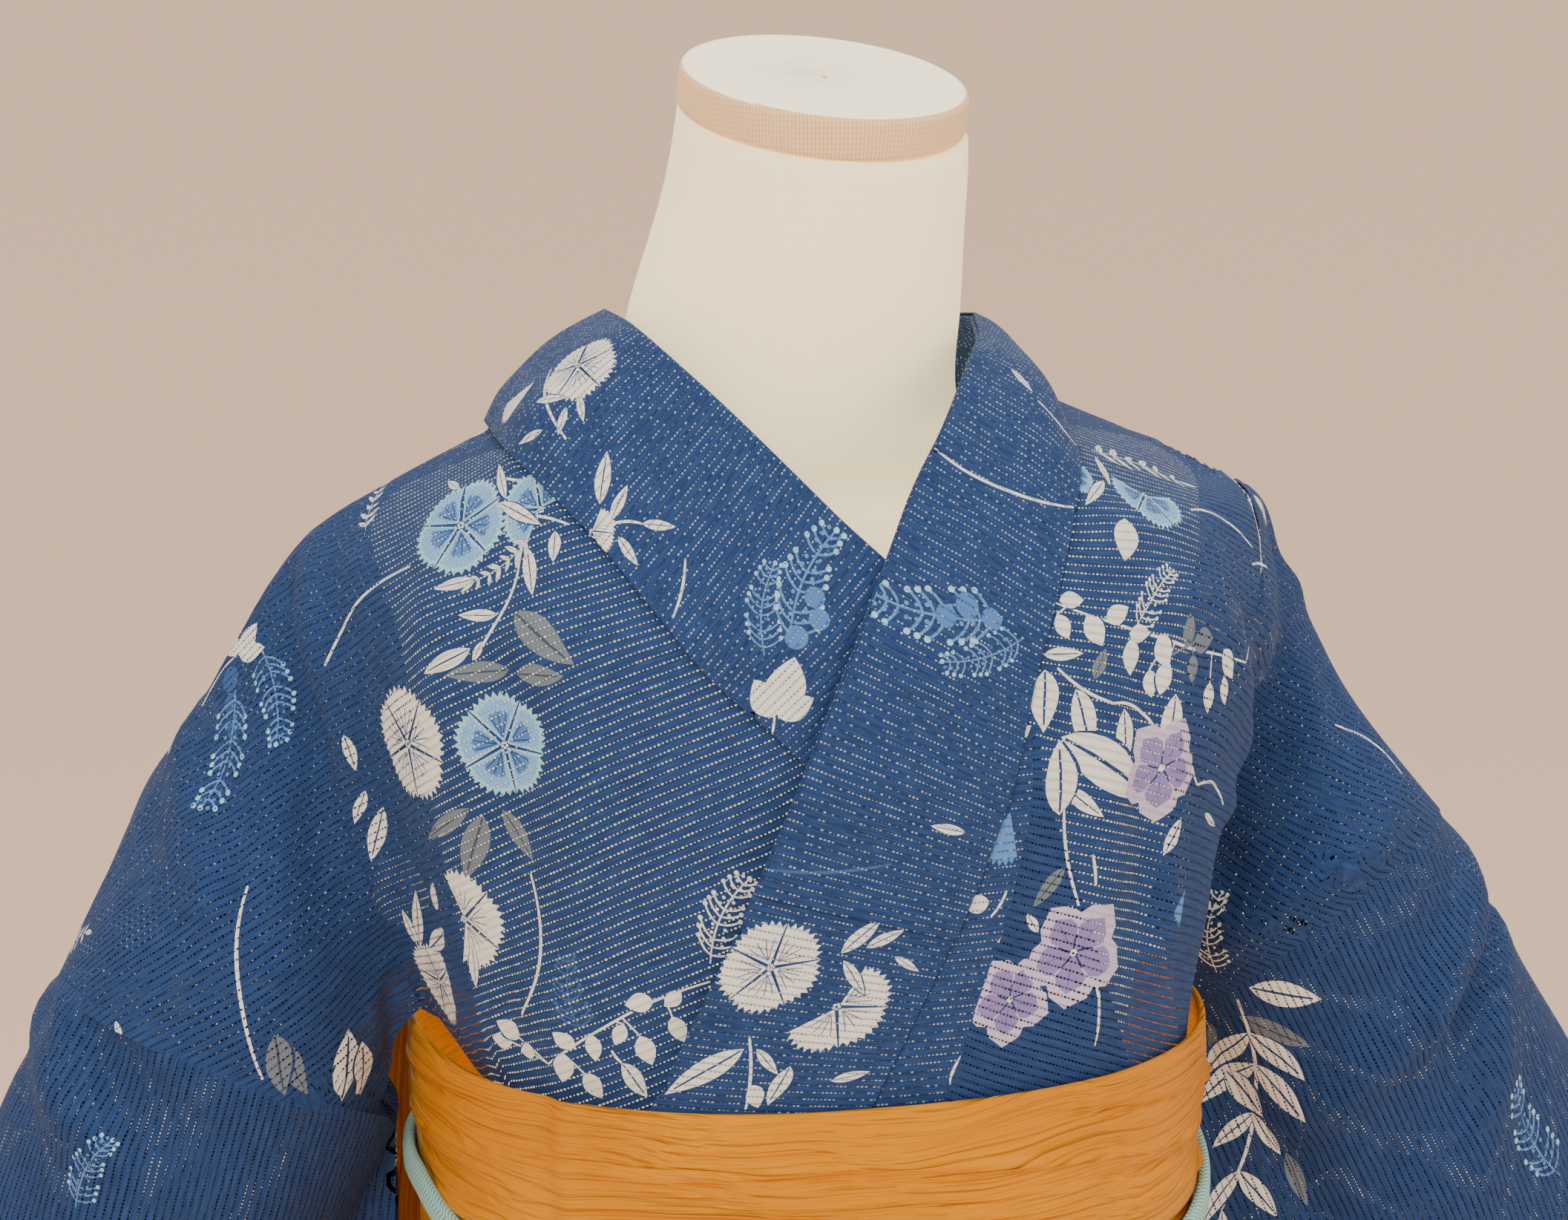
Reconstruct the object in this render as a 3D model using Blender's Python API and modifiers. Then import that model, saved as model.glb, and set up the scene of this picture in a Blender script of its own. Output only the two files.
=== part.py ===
"""Cotton yukata robe with its soft obi, worn on a limbless dress form on a stand.

Metres, +Z up. The form faces -Y, the wearer's left is +X, and the origin lies on the floor
under the pole. Every cloth piece is a thin wall round a worked-out surface: the body panels
run from the obi over the shoulder to the obi behind, and the collar, sleeves, skirt and obi
are lofted in the same way from short tables.
"""
import math

import bmesh
import bpy
import numpy as np
from mathutils import Vector

# Cloth sizes
WALL = 0.0012  # one layer of cotton with its seam turnings
COLLAR_WALL = 0.0022  # the collar strip is folded double
OBI_WALL = 0.0026
GAP = 0.0003
UNDERARM_GAP = 0.0020  # further clearance between sleeve and panel at the underarm
NECK_GAP = 0.0013  # half the clearance where collar and panel meet at a steep angle
OVER_LIFT = 0.0060  # the left front lies this far over the right one
CUT_LIFT = 0.0021  # the over-collar lies this far out from the collar's middle
SLEEVE_WIDTH = 0.33
SLEEVE_DROP = 0.49
ARMHOLE = 0.23
RING_DEPTH = {"right": 0.070, "left": 0.052}  # half the armhole ring, front to back
RING_RISE = {"right": 0.014, "left": 0.026}  # the seam climbs this much in front
RING_MIDDLE = 0.045  # how far back the middle of the ring lies
BACK_RISE = {"right": 0.0, "left": 0.015}  # the back's outer end climbs this much with its ring
RING_CLOSE = 0.965  # share of the half ring that each panel goes round
OKUMI_AT_OBI = 0.029

# Heights
OBI_TOP = 1.030
OBI_BOTTOM = 0.870
TUCK = 1.010  # the upper panels end here, under the obi
FOLD_BOTTOM = 0.800  # lower edge of the waist fold
FOLD_INNER = 0.858  # its turned-in edge, which lies on the skirt
FOLD_CLEAR = 0.0023
SKIRT_TOP = 0.925
HEM = 0.060

# Mesh counts
ROWS_FRONT = 12
ROWS_BACK = 10
COLUMNS = 16
PARTED = 2  # a length is parted in two solids this many rows in front of its top fold
NECK_ROWS = 4  # rows of the back that follow the neck seam, from shoulder to nape
DOWN = (0.0, 0.18, 0.36, 0.53, 0.70, 1.0)  # where the six stations lie, shoulder to obi

# The clothed trunk, seen from above at each height: half width, half depth, z
TRUNK = (
    {"z": 0.95, "wide": 0.143, "deep": 0.120},
    {"z": 1.00, "wide": 0.143, "deep": 0.120},
    {"z": 1.05, "wide": 0.148, "deep": 0.124},
    {"z": 1.10, "wide": 0.153, "deep": 0.127},
    {"z": 1.15, "wide": 0.160, "deep": 0.125},
    {"z": 1.20, "wide": 0.165, "deep": 0.112},
    {"z": 1.25, "wide": 0.130, "deep": 0.085},
    {"z": 1.29, "wide": 0.090, "deep": 0.060},
)
TRUNK_POWER = 2.4
ON_TRUNK = None  # a station whose depth is read from the trunk

# Crest of the shoulder and wing, from the collar to the top of the sleeve seam
CREST = {
    "right": (
        (0.00, -0.1155, 0.032, 1.2541),
        (0.16, -0.1560, 0.037, 1.2330),
        (0.28, -0.1820, 0.042, 1.2175),
        (0.40, -0.2030, 0.047, 1.1860),
        (0.57, -0.2246, 0.052, 1.1487),
        (0.73, -0.2458, 0.057, 1.1090),
        (0.87, -0.2641, 0.061, 1.0752),
        (1.00, -0.2790, 0.065, 1.0410),
    ),
    "left": (
        (0.00, 0.0885, 0.030, 1.2635),
        (0.11, 0.1192, 0.033, 1.2463),
        (0.22, 0.1519, 0.035, 1.2364),
        (0.35, 0.1888, 0.038, 1.2135),
        (0.43, 0.2010, 0.040, 1.1965),
        (0.66, 0.2290, 0.048, 1.1357),
        (0.85, 0.2510, 0.053, 1.1005),
        (1.00, 0.2710, 0.059, 1.0700),
    ),
}
UNDERARM = {"right": (-0.1545, 0.030, 0.985), "left": (0.1670, 0.030, 1.003)}

# Seam between collar and front, shoulder to obi: x, y, z at the six stations
COLLAR_SEAM = {
    "right": (
        (-0.1155, 0.032, 1.2541),
        (-0.1200, -0.026, 1.2560),
        (-0.0985, ON_TRUNK, 1.2320),
        (-0.0662, ON_TRUNK, 1.1897),
        (-0.0296, ON_TRUNK, 1.1519),
        (0.0300, ON_TRUNK, TUCK),
    ),
    "left": (
        (0.0885, 0.030, 1.2635),
        (0.0905, -0.030, 1.2570),
        (0.0774, ON_TRUNK, 1.2341),
        (0.0559, ON_TRUNK, 1.1905),
        (0.0395, ON_TRUNK, 1.1390),
        (-0.0190, ON_TRUNK, TUCK),
    ),
}
# Free edge of the collar at the same stations
COLLAR_EDGE = {
    "right": (
        (-0.0690, 0.030, 1.2950),
        (-0.0710, -0.022, 1.2990),
        (-0.0500, -0.0610, 1.2785),
        (-0.0147, ON_TRUNK, 1.2411),
        (0.0310, ON_TRUNK, 1.1920),
        (0.1030, ON_TRUNK, TUCK),
    ),
    "left": (
        (0.0738, 0.030, 1.2870),
        (0.0560, -0.035, 1.2890),
        (0.0300, -0.0780, 1.2655),
        (0.0015, ON_TRUNK, 1.2240),
        (-0.0275, ON_TRUNK, 1.1695),
        (-0.0955, ON_TRUNK, TUCK),
    ),
}
NECK_BACK = {"right": (-0.0800, 0.084, 1.2330), "left": (0.0680, 0.086, 1.2370)}
EDGE_BACK = {"right": (-0.0560, 0.078, 1.2830), "left": (0.0570, 0.080, 1.2780)}
NAPE_SEAM = (0.0, 0.113, 1.2120)
NAPE_EDGE = (0.0, 0.116, 1.2630)
KENSAKI = {"right": 0.72, "left": 0.62}  # where the okumi's point starts, as a share of the way down

# Lines down the front panels: where each lies across the panel, where it leaves the crest,
# and its five stations below the crest
FRONT_LINES = {
    "right": (
        {"across": 0.16, "crest": 0.16, "high": (-0.153, -0.018, 1.226),
         "upper": (-0.138, ON_TRUNK, 1.190), "middle": (-0.118, ON_TRUNK, 1.140),
         "low": (-0.100, ON_TRUNK, 1.085), "tuck": (-0.070, ON_TRUNK, TUCK)},
        {"across": 0.33, "crest": 0.29, "high": (-0.181, -0.005, 1.195),
         "upper": (-0.166, -0.038, 1.150), "middle": (-0.150, -0.055, 1.105),
         "low": (-0.137, -0.060, 1.058), "tuck": (-0.119, ON_TRUNK, TUCK)},
        {"across": 0.47, "crest": 0.41, "high": (-0.194, 0.016, 1.163),
         "upper": (-0.181, 0.000, 1.130), "middle": (-0.169, -0.002, 1.092),
         "low": (-0.157, 0.003, 1.058), "tuck": (-0.1475, 0.004, 1.038)},
        {"across": 0.74, "crest": 0.70, "high": (-0.238, 0.020, 1.105),
         "upper": (-0.226, -0.012, 1.080), "middle": (-0.209, -0.024, 1.052),
         "low": (-0.185, -0.014, 1.022), "tuck": (-0.163, 0.012, 0.999)},
    ),
    "left": (
        {"across": 0.16, "crest": 0.19, "high": (0.146, -0.022, 1.228),
         "upper": (0.130, ON_TRUNK, 1.193), "middle": (0.113, ON_TRUNK, 1.150),
         "low": (0.098, ON_TRUNK, 1.095), "tuck": (0.075, ON_TRUNK, TUCK)},
        {"across": 0.33, "crest": 0.34, "high": (0.184, -0.010, 1.195),
         "upper": (0.168, -0.040, 1.155), "middle": (0.151, -0.052, 1.110),
         "low": (0.143, -0.052, 1.062), "tuck": (0.126, ON_TRUNK, TUCK)},
        {"across": 0.47, "crest": 0.44, "high": (0.197, 0.018, 1.160),
         "upper": (0.180, 0.008, 1.125), "middle": (0.164, 0.012, 1.088),
         "low": (0.155, 0.014, 1.058), "tuck": (0.1490, 0.010, 1.038)},
        {"across": 0.74, "crest": 0.72, "high": (0.243, 0.018, 1.108),
         "upper": (0.232, -0.006, 1.090), "middle": (0.212, -0.015, 1.072),
         "low": (0.186, -0.008, 1.049), "tuck": (0.160, 0.018, 1.023)},
    ),
}
# Lines down the back, alike on both sides: half-width x, y, z
BACK_LINES = (
    {"across": 0.16, "crest": 0.16, "high": (0.130, 0.083, 1.222), "upper": (0.086, 0.116, 1.190),
     "middle": (0.064, 0.127, 1.145), "low": (0.057, 0.126, 1.085), "tuck": (0.052, 0.1135, TUCK)},
    {"across": 0.33, "crest": 0.31, "high": (0.172, 0.084, 1.190), "upper": (0.152, 0.108, 1.155),
     "middle": (0.128, 0.117, 1.118), "low": (0.111, 0.103, 1.070), "tuck": (0.101, 0.0870, TUCK)},
    {"across": 0.47, "crest": 0.43, "high": (0.197, 0.080, 1.160), "upper": (0.180, 0.084, 1.125),
     "middle": (0.164, 0.076, 1.090), "low": (0.152, 0.062, 1.058), "tuck": (0.1400, 0.058, 1.040)},
    {"across": 0.74, "crest": 0.71, "high": (0.242, 0.088, 1.105), "upper": (0.232, 0.108, 1.083),
     "middle": (0.216, 0.114, 1.056), "low": (0.193, 0.098, 1.028), "tuck": (0.167, 0.058, 1.002)},
)
CENTRE_BACK = ((0.0, 0.122, 1.150), (0.0, 0.122, 1.090), (0.0, 0.1155, TUCK))

# Sleeves, in the upright plane through the sleeve seam: outward and upward from the seam's top
SLEEVE_CORNERS = {
    "right": {"shoulder_end": (0.112, -0.306), "inner_low": (-0.122, -0.318),
              "outer_low": (-0.030, -0.655)},
    "left": {"shoulder_end": (0.185, -0.265), "inner_low": (-0.112, -0.318),
             "outer_low": (0.020, -0.650)},
}
SLEEVE_LEAN = 0.040  # the bag hangs this far back at its lower edge
SLEEVE_SPANS = 9
BAG_DEPTHS = (0.265, 0.32, 0.38, 0.44, 0.472)  # drops of the bag's rows below the armhole

# Skirt, waist fold and obi: half width and half depth at each height
SKIRT = (
    {"z": HEM, "wide": 0.156, "deep": 0.122},
    {"z": 0.30, "wide": 0.160, "deep": 0.125},
    {"z": 0.60, "wide": 0.163, "deep": 0.125},
    {"z": 0.74, "wide": 0.157, "deep": 0.122},
    {"z": 0.79, "wide": 0.1445, "deep": 0.118},
    {"z": 0.87, "wide": 0.1370, "deep": 0.112},
    {"z": SKIRT_TOP, "wide": 0.1330, "deep": 0.107},
)
SKIRT_OVER = 0.0040  # the left front of the skirt hangs this far over the right
SKIRT_ROWS = 9
SKIRT_PIECES = (
    {"name": "skirt_back_right", "start": -179.92, "end": -92.0, "over": False, "steps": 7},
    {"name": "skirt_back_left", "start": 92.0, "end": 179.92, "over": False, "steps": 7},
    {"name": "skirt_front_right_under", "start": -91.8, "end": 4.0, "over": False, "steps": 8},
    {"name": "skirt_okumi_right_under", "start": 4.2, "end": 52.0, "over": False, "steps": 4},
    {"name": "skirt_front_left_over", "start": -4.0, "end": 91.8, "over": True, "steps": 8},
    {"name": "skirt_okumi_left_over", "start": -58.0, "end": -4.2, "over": True, "steps": 5},
)
OBI = (
    {"z": OBI_TOP, "wide": 0.1512, "deep": 0.1335},
    {"z": 1.010, "wide": 0.1520, "deep": 0.1350},
    {"z": 0.980, "wide": 0.1490, "deep": 0.1340},
    {"z": 0.945, "wide": 0.1475, "deep": 0.1330},
    {"z": 0.910, "wide": 0.1505, "deep": 0.1350},
    {"z": OBI_BOTTOM, "wide": 0.1530, "deep": 0.1360},
)
OBI_STEPS = 36
OBI_POWER = 2.35  # how square its plan is
BOW_STAND = 0.0317  # from the obi to the middle of the bow
CORD_WIDTH = 0.012
CORD_THICK = 0.005
CORD_CLEAR = 0.0012  # from the obi, past its crinkles
CORD_FRONT_Z = 0.938
CORD_SIDE_Z = 0.972

# Dress form: half width, half depth, middle y, z, and how square each level is
FORM = (
    {"z": 0.740, "wide": 0.120, "deep": 0.090, "y": 0.004, "power": 2.15},
    {"z": 0.760, "wide": 0.130, "deep": 0.099, "y": 0.004, "power": 2.15},
    {"z": 0.820, "wide": 0.133, "deep": 0.102, "y": 0.002, "power": 2.15},
    {"z": 0.880, "wide": 0.130, "deep": 0.098, "y": 0.002, "power": 2.15},
    {"z": 0.960, "wide": 0.118, "deep": 0.092, "y": 0.000, "power": 2.15},
    {"z": 1.040, "wide": 0.128, "deep": 0.100, "y": 0.002, "power": 2.15},
    {"z": 1.100, "wide": 0.140, "deep": 0.109, "y": 0.002, "power": 2.15},
    {"z": 1.150, "wide": 0.148, "deep": 0.103, "y": 0.006, "power": 2.15},
    {"z": 1.180, "wide": 0.153, "deep": 0.092, "y": 0.012, "power": 2.10},
    {"z": 1.205, "wide": 0.160, "deep": 0.078, "y": 0.017, "power": 2.00},
    {"z": 1.221, "wide": 0.162, "deep": 0.068, "y": 0.021, "power": 1.70},
    {"z": 1.2350, "wide": 0.147, "deep": 0.060, "y": 0.027, "power": 1.40},
    {"z": 1.247, "wide": 0.106, "deep": 0.058, "y": 0.022, "power": 1.70},
    {"z": 1.262, "wide": 0.066, "deep": 0.058, "y": 0.018, "power": 2.15},
    {"z": 1.300, "wide": 0.0615, "deep": 0.057, "y": 0.010, "power": 2.15},
    {"z": 1.340, "wide": 0.0555, "deep": 0.056, "y": 0.002, "power": 2.15},
    {"z": 1.370, "wide": 0.0530, "deep": 0.056, "y": -0.003, "power": 2.15},
)
FORM_STEPS = 28
NECK_LEAN = (-0.0045, 0.0055)  # the neck's middle, sideways, at its root and under the cap
CAP_NOD = math.radians(8.0)  # the cap dips forward
CAP_DIP = math.radians(4.0)  # and towards the wearer's left
CAP_CENTRE = (0.0055, -0.003, 1.3790)
CAP_THICK = 0.017
POLE_RADIUS = 0.014
BASE_RADIUS = 0.170
BASE_HEIGHT = 0.022


def blend_steps(x, y, at):
    """Monotone cubic through the points (x, y), read at each value of at."""
    x = np.asarray(x, float)
    y = np.asarray(y, float)
    at = np.asarray(at, float)
    step = np.diff(x)
    rise = np.diff(y) / step
    slope = np.zeros(len(x))
    for i in range(1, len(x) - 1):
        if rise[i - 1] * rise[i] > 0:
            near = 2 * step[i] + step[i - 1]
            far = step[i] + 2 * step[i - 1]
            slope[i] = (near + far) / (near / rise[i - 1] + far / rise[i])
    slope[0] = rise[0]
    slope[-1] = rise[-1]
    k = np.clip(np.searchsorted(x, at) - 1, 0, len(x) - 2)
    t = (at - x[k]) / step[k]
    keep = 2 * t**3 - 3 * t**2 + 1
    leave = t**3 - 2 * t**2 + t
    reach = 3 * t**2 - 2 * t**3
    arrive = t**3 - t**2
    return keep * y[k] + leave * step[k] * slope[k] + reach * y[k + 1] + arrive * step[k] * slope[k + 1]


def through(shares, points, at):
    """Smooth curve through 3-D points given at shares, read at each value of at."""
    points = np.asarray(points, float)
    return np.stack([blend_steps(shares, points[:, axis], at) for axis in range(3)], -1)


def smooth(x, low, high):
    """0 below low, 1 above high, eased between."""
    t = np.clip((np.asarray(x, float) - low) / (high - low), 0, 1)
    return t * t * (3 - 2 * t)


def trunk_depth(x, z):
    """How far the clothed trunk stands out in front at x and z."""
    heights = [row["z"] for row in TRUNK]
    wide = np.interp(z, heights, [row["wide"] for row in TRUNK])
    deep = np.interp(z, heights, [row["deep"] for row in TRUNK])
    left = np.clip(1 - np.abs(np.asarray(x) / wide) ** TRUNK_POWER, 0.02, 1)
    return deep * left ** (1 / TRUNK_POWER)


def placed(station, side):
    """A station as x, y, z, with its depth read from the trunk where it lies on it."""
    x, y, z = station
    return (x, -float(trunk_depth(x, z)) - lift(side) if y is ON_TRUNK else y, z)


def crest(side, share):
    """Point on the crest of the shoulder and wing."""
    rows = np.array(CREST[side])
    return through(rows[:, 0], rows[:, 1:], np.atleast_1d(share))


def sleeve_ring(side, angle, front):
    """Point on the sleeve seam: angle 0 at its top, pi at the underarm."""
    top = crest(side, 1.0)[0]
    low = np.array(UNDERARM[side])
    out = top - low
    out[2] = 0
    out /= np.linalg.norm(out)
    ahead = np.array([out[1], -out[0], 0.0]) * (1 if side == "left" else -1)
    middle = (top + low) / 2
    spread = RING_DEPTH[side] * np.sin(angle) * (1 if front else -1)
    ring = middle + np.multiply.outer(np.cos(angle), (top - low) / 2) + np.multiply.outer(spread, ahead)
    ring[..., 2] += RING_RISE[side] * np.sin(angle) * (1 if front else 0)
    return ring


def seam_stations(side):
    return [placed(row, side) for row in COLLAR_SEAM[side]]


def collar_seam(side, down):
    return through(DOWN, seam_stations(side), down)


def okumi_width(side, down):
    """Width of the okumi at each share of the way down: none above its point."""
    start = KENSAKI[side]
    share = np.clip((np.asarray(down) - start) / (1 - start), 0, 1)
    return np.where(share > 0, GAP * 5 + OKUMI_AT_OBI * share**0.75, 0.0)


def outward(side):
    return -1.0 if side == "right" else 1.0


def lift(side):
    return OVER_LIFT if side == "left" else 0.0


def lay_on_trunk(points, side, weight):
    """Moves points onto the trunk's front, at their side's layer, by weight."""
    points = points.copy()
    eased = smooth(points[..., 2], 1.262, 1.225)
    target = -(trunk_depth(points[..., 0], points[..., 2]) + lift(side) * eased)
    points[..., 1] += weight * (target - points[..., 1])
    return points


def front_grid(side, down, across):
    """The front panel: rows run down from the crest, columns from the collar to the sleeve."""
    seam = collar_seam(side, down)
    seam[:, 0] += outward(side) * okumi_width(side, down)
    lines = [seam]
    shares = [0.0]
    for row in FRONT_LINES[side]:
        stations = [crest(side, row["crest"])[0]]
        stations += [placed(row[name], side) for name in ("high", "upper", "middle", "low", "tuck")]
        lines.append(through(DOWN, stations, down))
        shares.append(row["across"])
    lines.append(sleeve_ring(side, np.pi * RING_CLOSE * np.asarray(down), True))
    shares.append(1.0)
    lines = np.array(lines)
    grid = np.stack([through(shares, lines[:, i], across) for i in range(len(down))])
    grid[0] = crest(side, across)
    grid[0, 0] = seam[0]
    weight = np.outer(smooth(down, 0.16, 0.36), 1 - smooth(across, 0.12, 0.30))
    grid = lay_on_trunk(grid, side, weight)
    return set_back(grid, GAP / 2 + (NECK_GAP - GAP / 2) * (1 - smooth(down, 0.20, 0.53)))


def set_back(grid, gaps):
    """Draws the first column of a panel back from its seam, by a gap per row."""
    inward = grid[:, 1] - grid[:, 0]
    inward /= np.linalg.norm(inward, axis=1)[:, None]
    grid[:, 0] += inward * np.asarray(gaps)[:, None]
    return grid


def back_line_zero(side, down):
    """Inner edge of the back: along the neck seam to the nape, then down the centre seam."""
    first = seam_stations(side)[0]
    stations = [first, NECK_BACK[side], NAPE_SEAM, *CENTRE_BACK]
    return through(DOWN, stations, down)


def back_grid(side, down, across):
    """The back panel, from the crest down."""
    sign = outward(side)
    lines = [back_line_zero(side, down)]
    shares = [0.0]
    for row in BACK_LINES:
        stations = [crest(side, row["crest"])[0]]
        near_ring = float(smooth(row["across"], 0.40, 0.74))
        slim = 1 + near_ring * (RING_DEPTH[side] / RING_DEPTH["right"] - 1)
        for name, share in zip(("high", "upper", "middle", "low", "tuck"), DOWN[1:]):
            x, y, z = row[name]
            y = RING_MIDDLE + (y - RING_MIDDLE) * slim
            stations.append((sign * x, y, z + BACK_RISE[side] * near_ring * share))
        lines.append(through(DOWN, stations, down))
        shares.append(row["across"])
    lines.append(sleeve_ring(side, np.pi * RING_CLOSE * np.asarray(down), False))
    shares.append(1.0)
    lines = np.array(lines)
    grid = np.stack([through(shares, lines[:, i], across) for i in range(len(down))])
    grid[0] = crest(side, across)
    grid[0, 0] = lines[0, 0]
    return set_back(grid, GAP / 2 + (NECK_GAP - GAP / 2) * (np.asarray(down) < DOWN[2] + 0.001))


def shares_down(rows):
    return np.linspace(0, 1, rows + 1)


def back_shares(rows, neck_rows):
    """Rows of the back: an even few along the neck seam, an even few below the nape."""
    neck = np.linspace(0, DOWN[2], neck_rows + 1)
    return np.concatenate([neck, np.linspace(DOWN[2], 1, rows - neck_rows + 1)[1:]])


def body_grid(side, rows_front=ROWS_FRONT, rows_back=ROWS_BACK, columns=COLUMNS, neck_rows=NECK_ROWS):
    """One body panel: up the front, over the crest and down the back, in one length."""
    across = np.linspace(0, 1, columns + 1)
    front = front_grid(side, shares_down(rows_front), across)
    back = back_grid(side, back_shares(rows_back, neck_rows), across)
    return np.concatenate([front[::-1], back[1:]])


def collar_rails(side, rows_front=ROWS_FRONT, rows_back=ROWS_BACK, neck_rows=NECK_ROWS):
    """Seam and free edge of one half of the collar, from the obi round to the nape."""
    down = shares_down(rows_front)
    seam = collar_seam(side, down)
    edge = through(DOWN, [placed(row, side) for row in COLLAR_EDGE[side]], down)
    behind = back_shares(rows_back, neck_rows)[1 : neck_rows + 1]
    seam_back = back_line_zero(side, behind)
    edge_back = through(DOWN[:3], [COLLAR_EDGE[side][0], EDGE_BACK[side], NAPE_EDGE], behind)
    weight = smooth(down, 0.16, 0.36)
    seam = lay_on_trunk(seam, side, weight)
    edge = lay_on_trunk(edge, side, smooth(down, 0.36, 0.53))
    return np.concatenate([seam[::-1], seam_back]), np.concatenate([edge[::-1], edge_back]), weight


def collar_strip(shares, rows_front=ROWS_FRONT, rows_back=ROWS_BACK, neck_rows=NECK_ROWS):
    """The whole collar from its right end round the nape to its left end: a column per share."""
    halves = []
    for side in ("right", "left"):
        seam, edge, weight = collar_rails(side, rows_front, rows_back, neck_rows)
        near_chest = smooth(shares_down(rows_front), 0.20, 0.53)
        across = edge - seam
        length = np.linalg.norm(across, axis=1)[:, None]
        near_neck = np.concatenate([1 - near_chest[::-1], np.ones(neck_rows)])
        room = GAP / 2 + (NECK_GAP - GAP / 2) * near_neck
        start = seam + across / length * room[:, None]
        strip = np.stack([start + (edge - start) * share for share in shares], 1)
        along = np.gradient(strip[:, 0], axis=0)
        normal = np.cross(along, across)
        normal /= np.linalg.norm(normal, axis=1)[:, None]
        normal *= np.sign(normal[0] @ np.array([0, -1, 0]))
        crown = 0.006 * np.sin(np.pi * np.asarray(shares))
        round_neck = np.concatenate([1 - weight[::-1], np.ones(neck_rows)])
        strip += normal[:, None, :] * (crown[None, :] * round_neck[:, None])[..., None]
        on = np.concatenate([smooth(shares_down(rows_front), 0.36, 0.53)[::-1], np.zeros(neck_rows)])
        strip = lay_on_trunk(strip, side, np.repeat(on[:, None], len(shares), 1))
        halves.append(strip)
    right, left = halves
    nape = (right[-1:] + left[-1:]) / 2
    return np.concatenate([right[:-1], nape, left[:-1][::-1]])


def okumi_grid(side, columns=2, rows_front=ROWS_FRONT):
    """The okumi above the obi: between the collar seam and the front panel."""
    down = shares_down(rows_front)
    down = down[okumi_width(side, down) > 0]
    seam = collar_seam(side, down)
    near = seam.copy()
    near[:, 0] += outward(side) * GAP
    far = seam.copy()
    far[:, 0] += outward(side) * (okumi_width(side, down) - GAP / 2)
    grid = np.stack([near + (far - near) * k / columns for k in range(columns + 1)], 1)
    return lay_on_trunk(grid, side, np.ones(grid.shape[:2]))


def sleeve_plane(side):
    """Top of the sleeve seam, and the outward and forward directions of the sleeve's plane."""
    top = crest(side, 1.0)[0]
    low = np.array(UNDERARM[side])
    out = top - low
    drop = out[2]
    out[2] = 0
    reach = np.linalg.norm(out)
    out /= reach
    ahead = np.array([out[1], -out[0], 0.0]) * (1 if side == "left" else -1)
    return top, out, ahead, reach, drop


def sleeve_point(side, width, drop, front):
    """Point of the sleeve at a distance along it and down from its folded top."""
    top, out, ahead, reach, fall = sleeve_plane(side)
    corners = SLEEVE_CORNERS[side]
    under = np.array([-reach, -fall])
    end = np.array(corners["shoulder_end"])
    inner = np.array(corners["inner_low"])
    outer = np.array(corners["outer_low"])
    along = width / SLEEVE_WIDTH
    turn = min(drop / ARMHOLE, 1.0)
    round_share = (1 - math.cos(math.pi * turn)) / 2
    flat_share = drop / SLEEVE_DROP
    below = max(0.0, (drop - ARMHOLE) / (SLEEVE_DROP - ARMHOLE))
    at_seam = under * round_share + (inner - under) * below
    at_cuff = end + (outer - end) * flat_share
    top_line = end * along
    low_line = inner + (outer - inner) * along
    plain = top_line + (low_line - top_line) * flat_share
    seam_share = (1 - along) ** 1.6
    seam_plain = inner * flat_share
    spot = plain + (at_seam - seam_plain) * seam_share
    bow = 0.010 * math.sin(math.pi * along) * (1 - flat_share)
    spot = spot + np.array([bow, 0.0])
    round_depth = RING_DEPTH[side] * math.sin(math.pi * turn)
    lobe = min(drop / (ARMHOLE + 0.16 * math.sin(math.pi * along)), 1.0)
    bag_depth = (0.050 - 0.036 * along) * math.sin(math.pi * lobe) ** 0.8 if lobe < 1 else 0.0
    sewn = seam_share * (1 - float(smooth(drop, RING_CLOSE * ARMHOLE, RING_CLOSE * ARMHOLE + 0.04)))
    closed = smooth(drop, SLEEVE_DROP - 0.03, SLEEVE_DROP + 0.01)
    tail = (0.0050 * (1 - along) + 0.0022 + 0.010 * math.sin(math.pi * along)) * (1 - float(closed))
    tail *= float(smooth(drop, 0.0, 0.15)) * (1 - sewn)
    depth = round_depth * seam_share + bag_depth * (1 - seam_share)
    depth = depth + tail * float(smooth(drop, 0.1, 0.24)) if drop < SLEEVE_DROP else 0.0
    lean = SLEEVE_LEAN * (drop / SLEEVE_DROP) ** 1.5 * (0.6 + 0.4 * along)
    lean = lean * (1 - sewn) + 0.012 * along
    side_way = (depth if front else -depth) - lean
    rise = RING_RISE[side] * math.sin(math.pi * turn) * seam_share if front else 0.0
    return top + out * spot[0] + ahead * side_way + np.array([0, 0, spot[1] + rise])


def arm_direction(side):
    top, out, ahead, reach, fall = sleeve_plane(side)
    end = np.array(SLEEVE_CORNERS[side]["shoulder_end"])
    end = end / np.linalg.norm(end)
    return out * end[0] + np.array([0, 0, end[1]])


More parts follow.
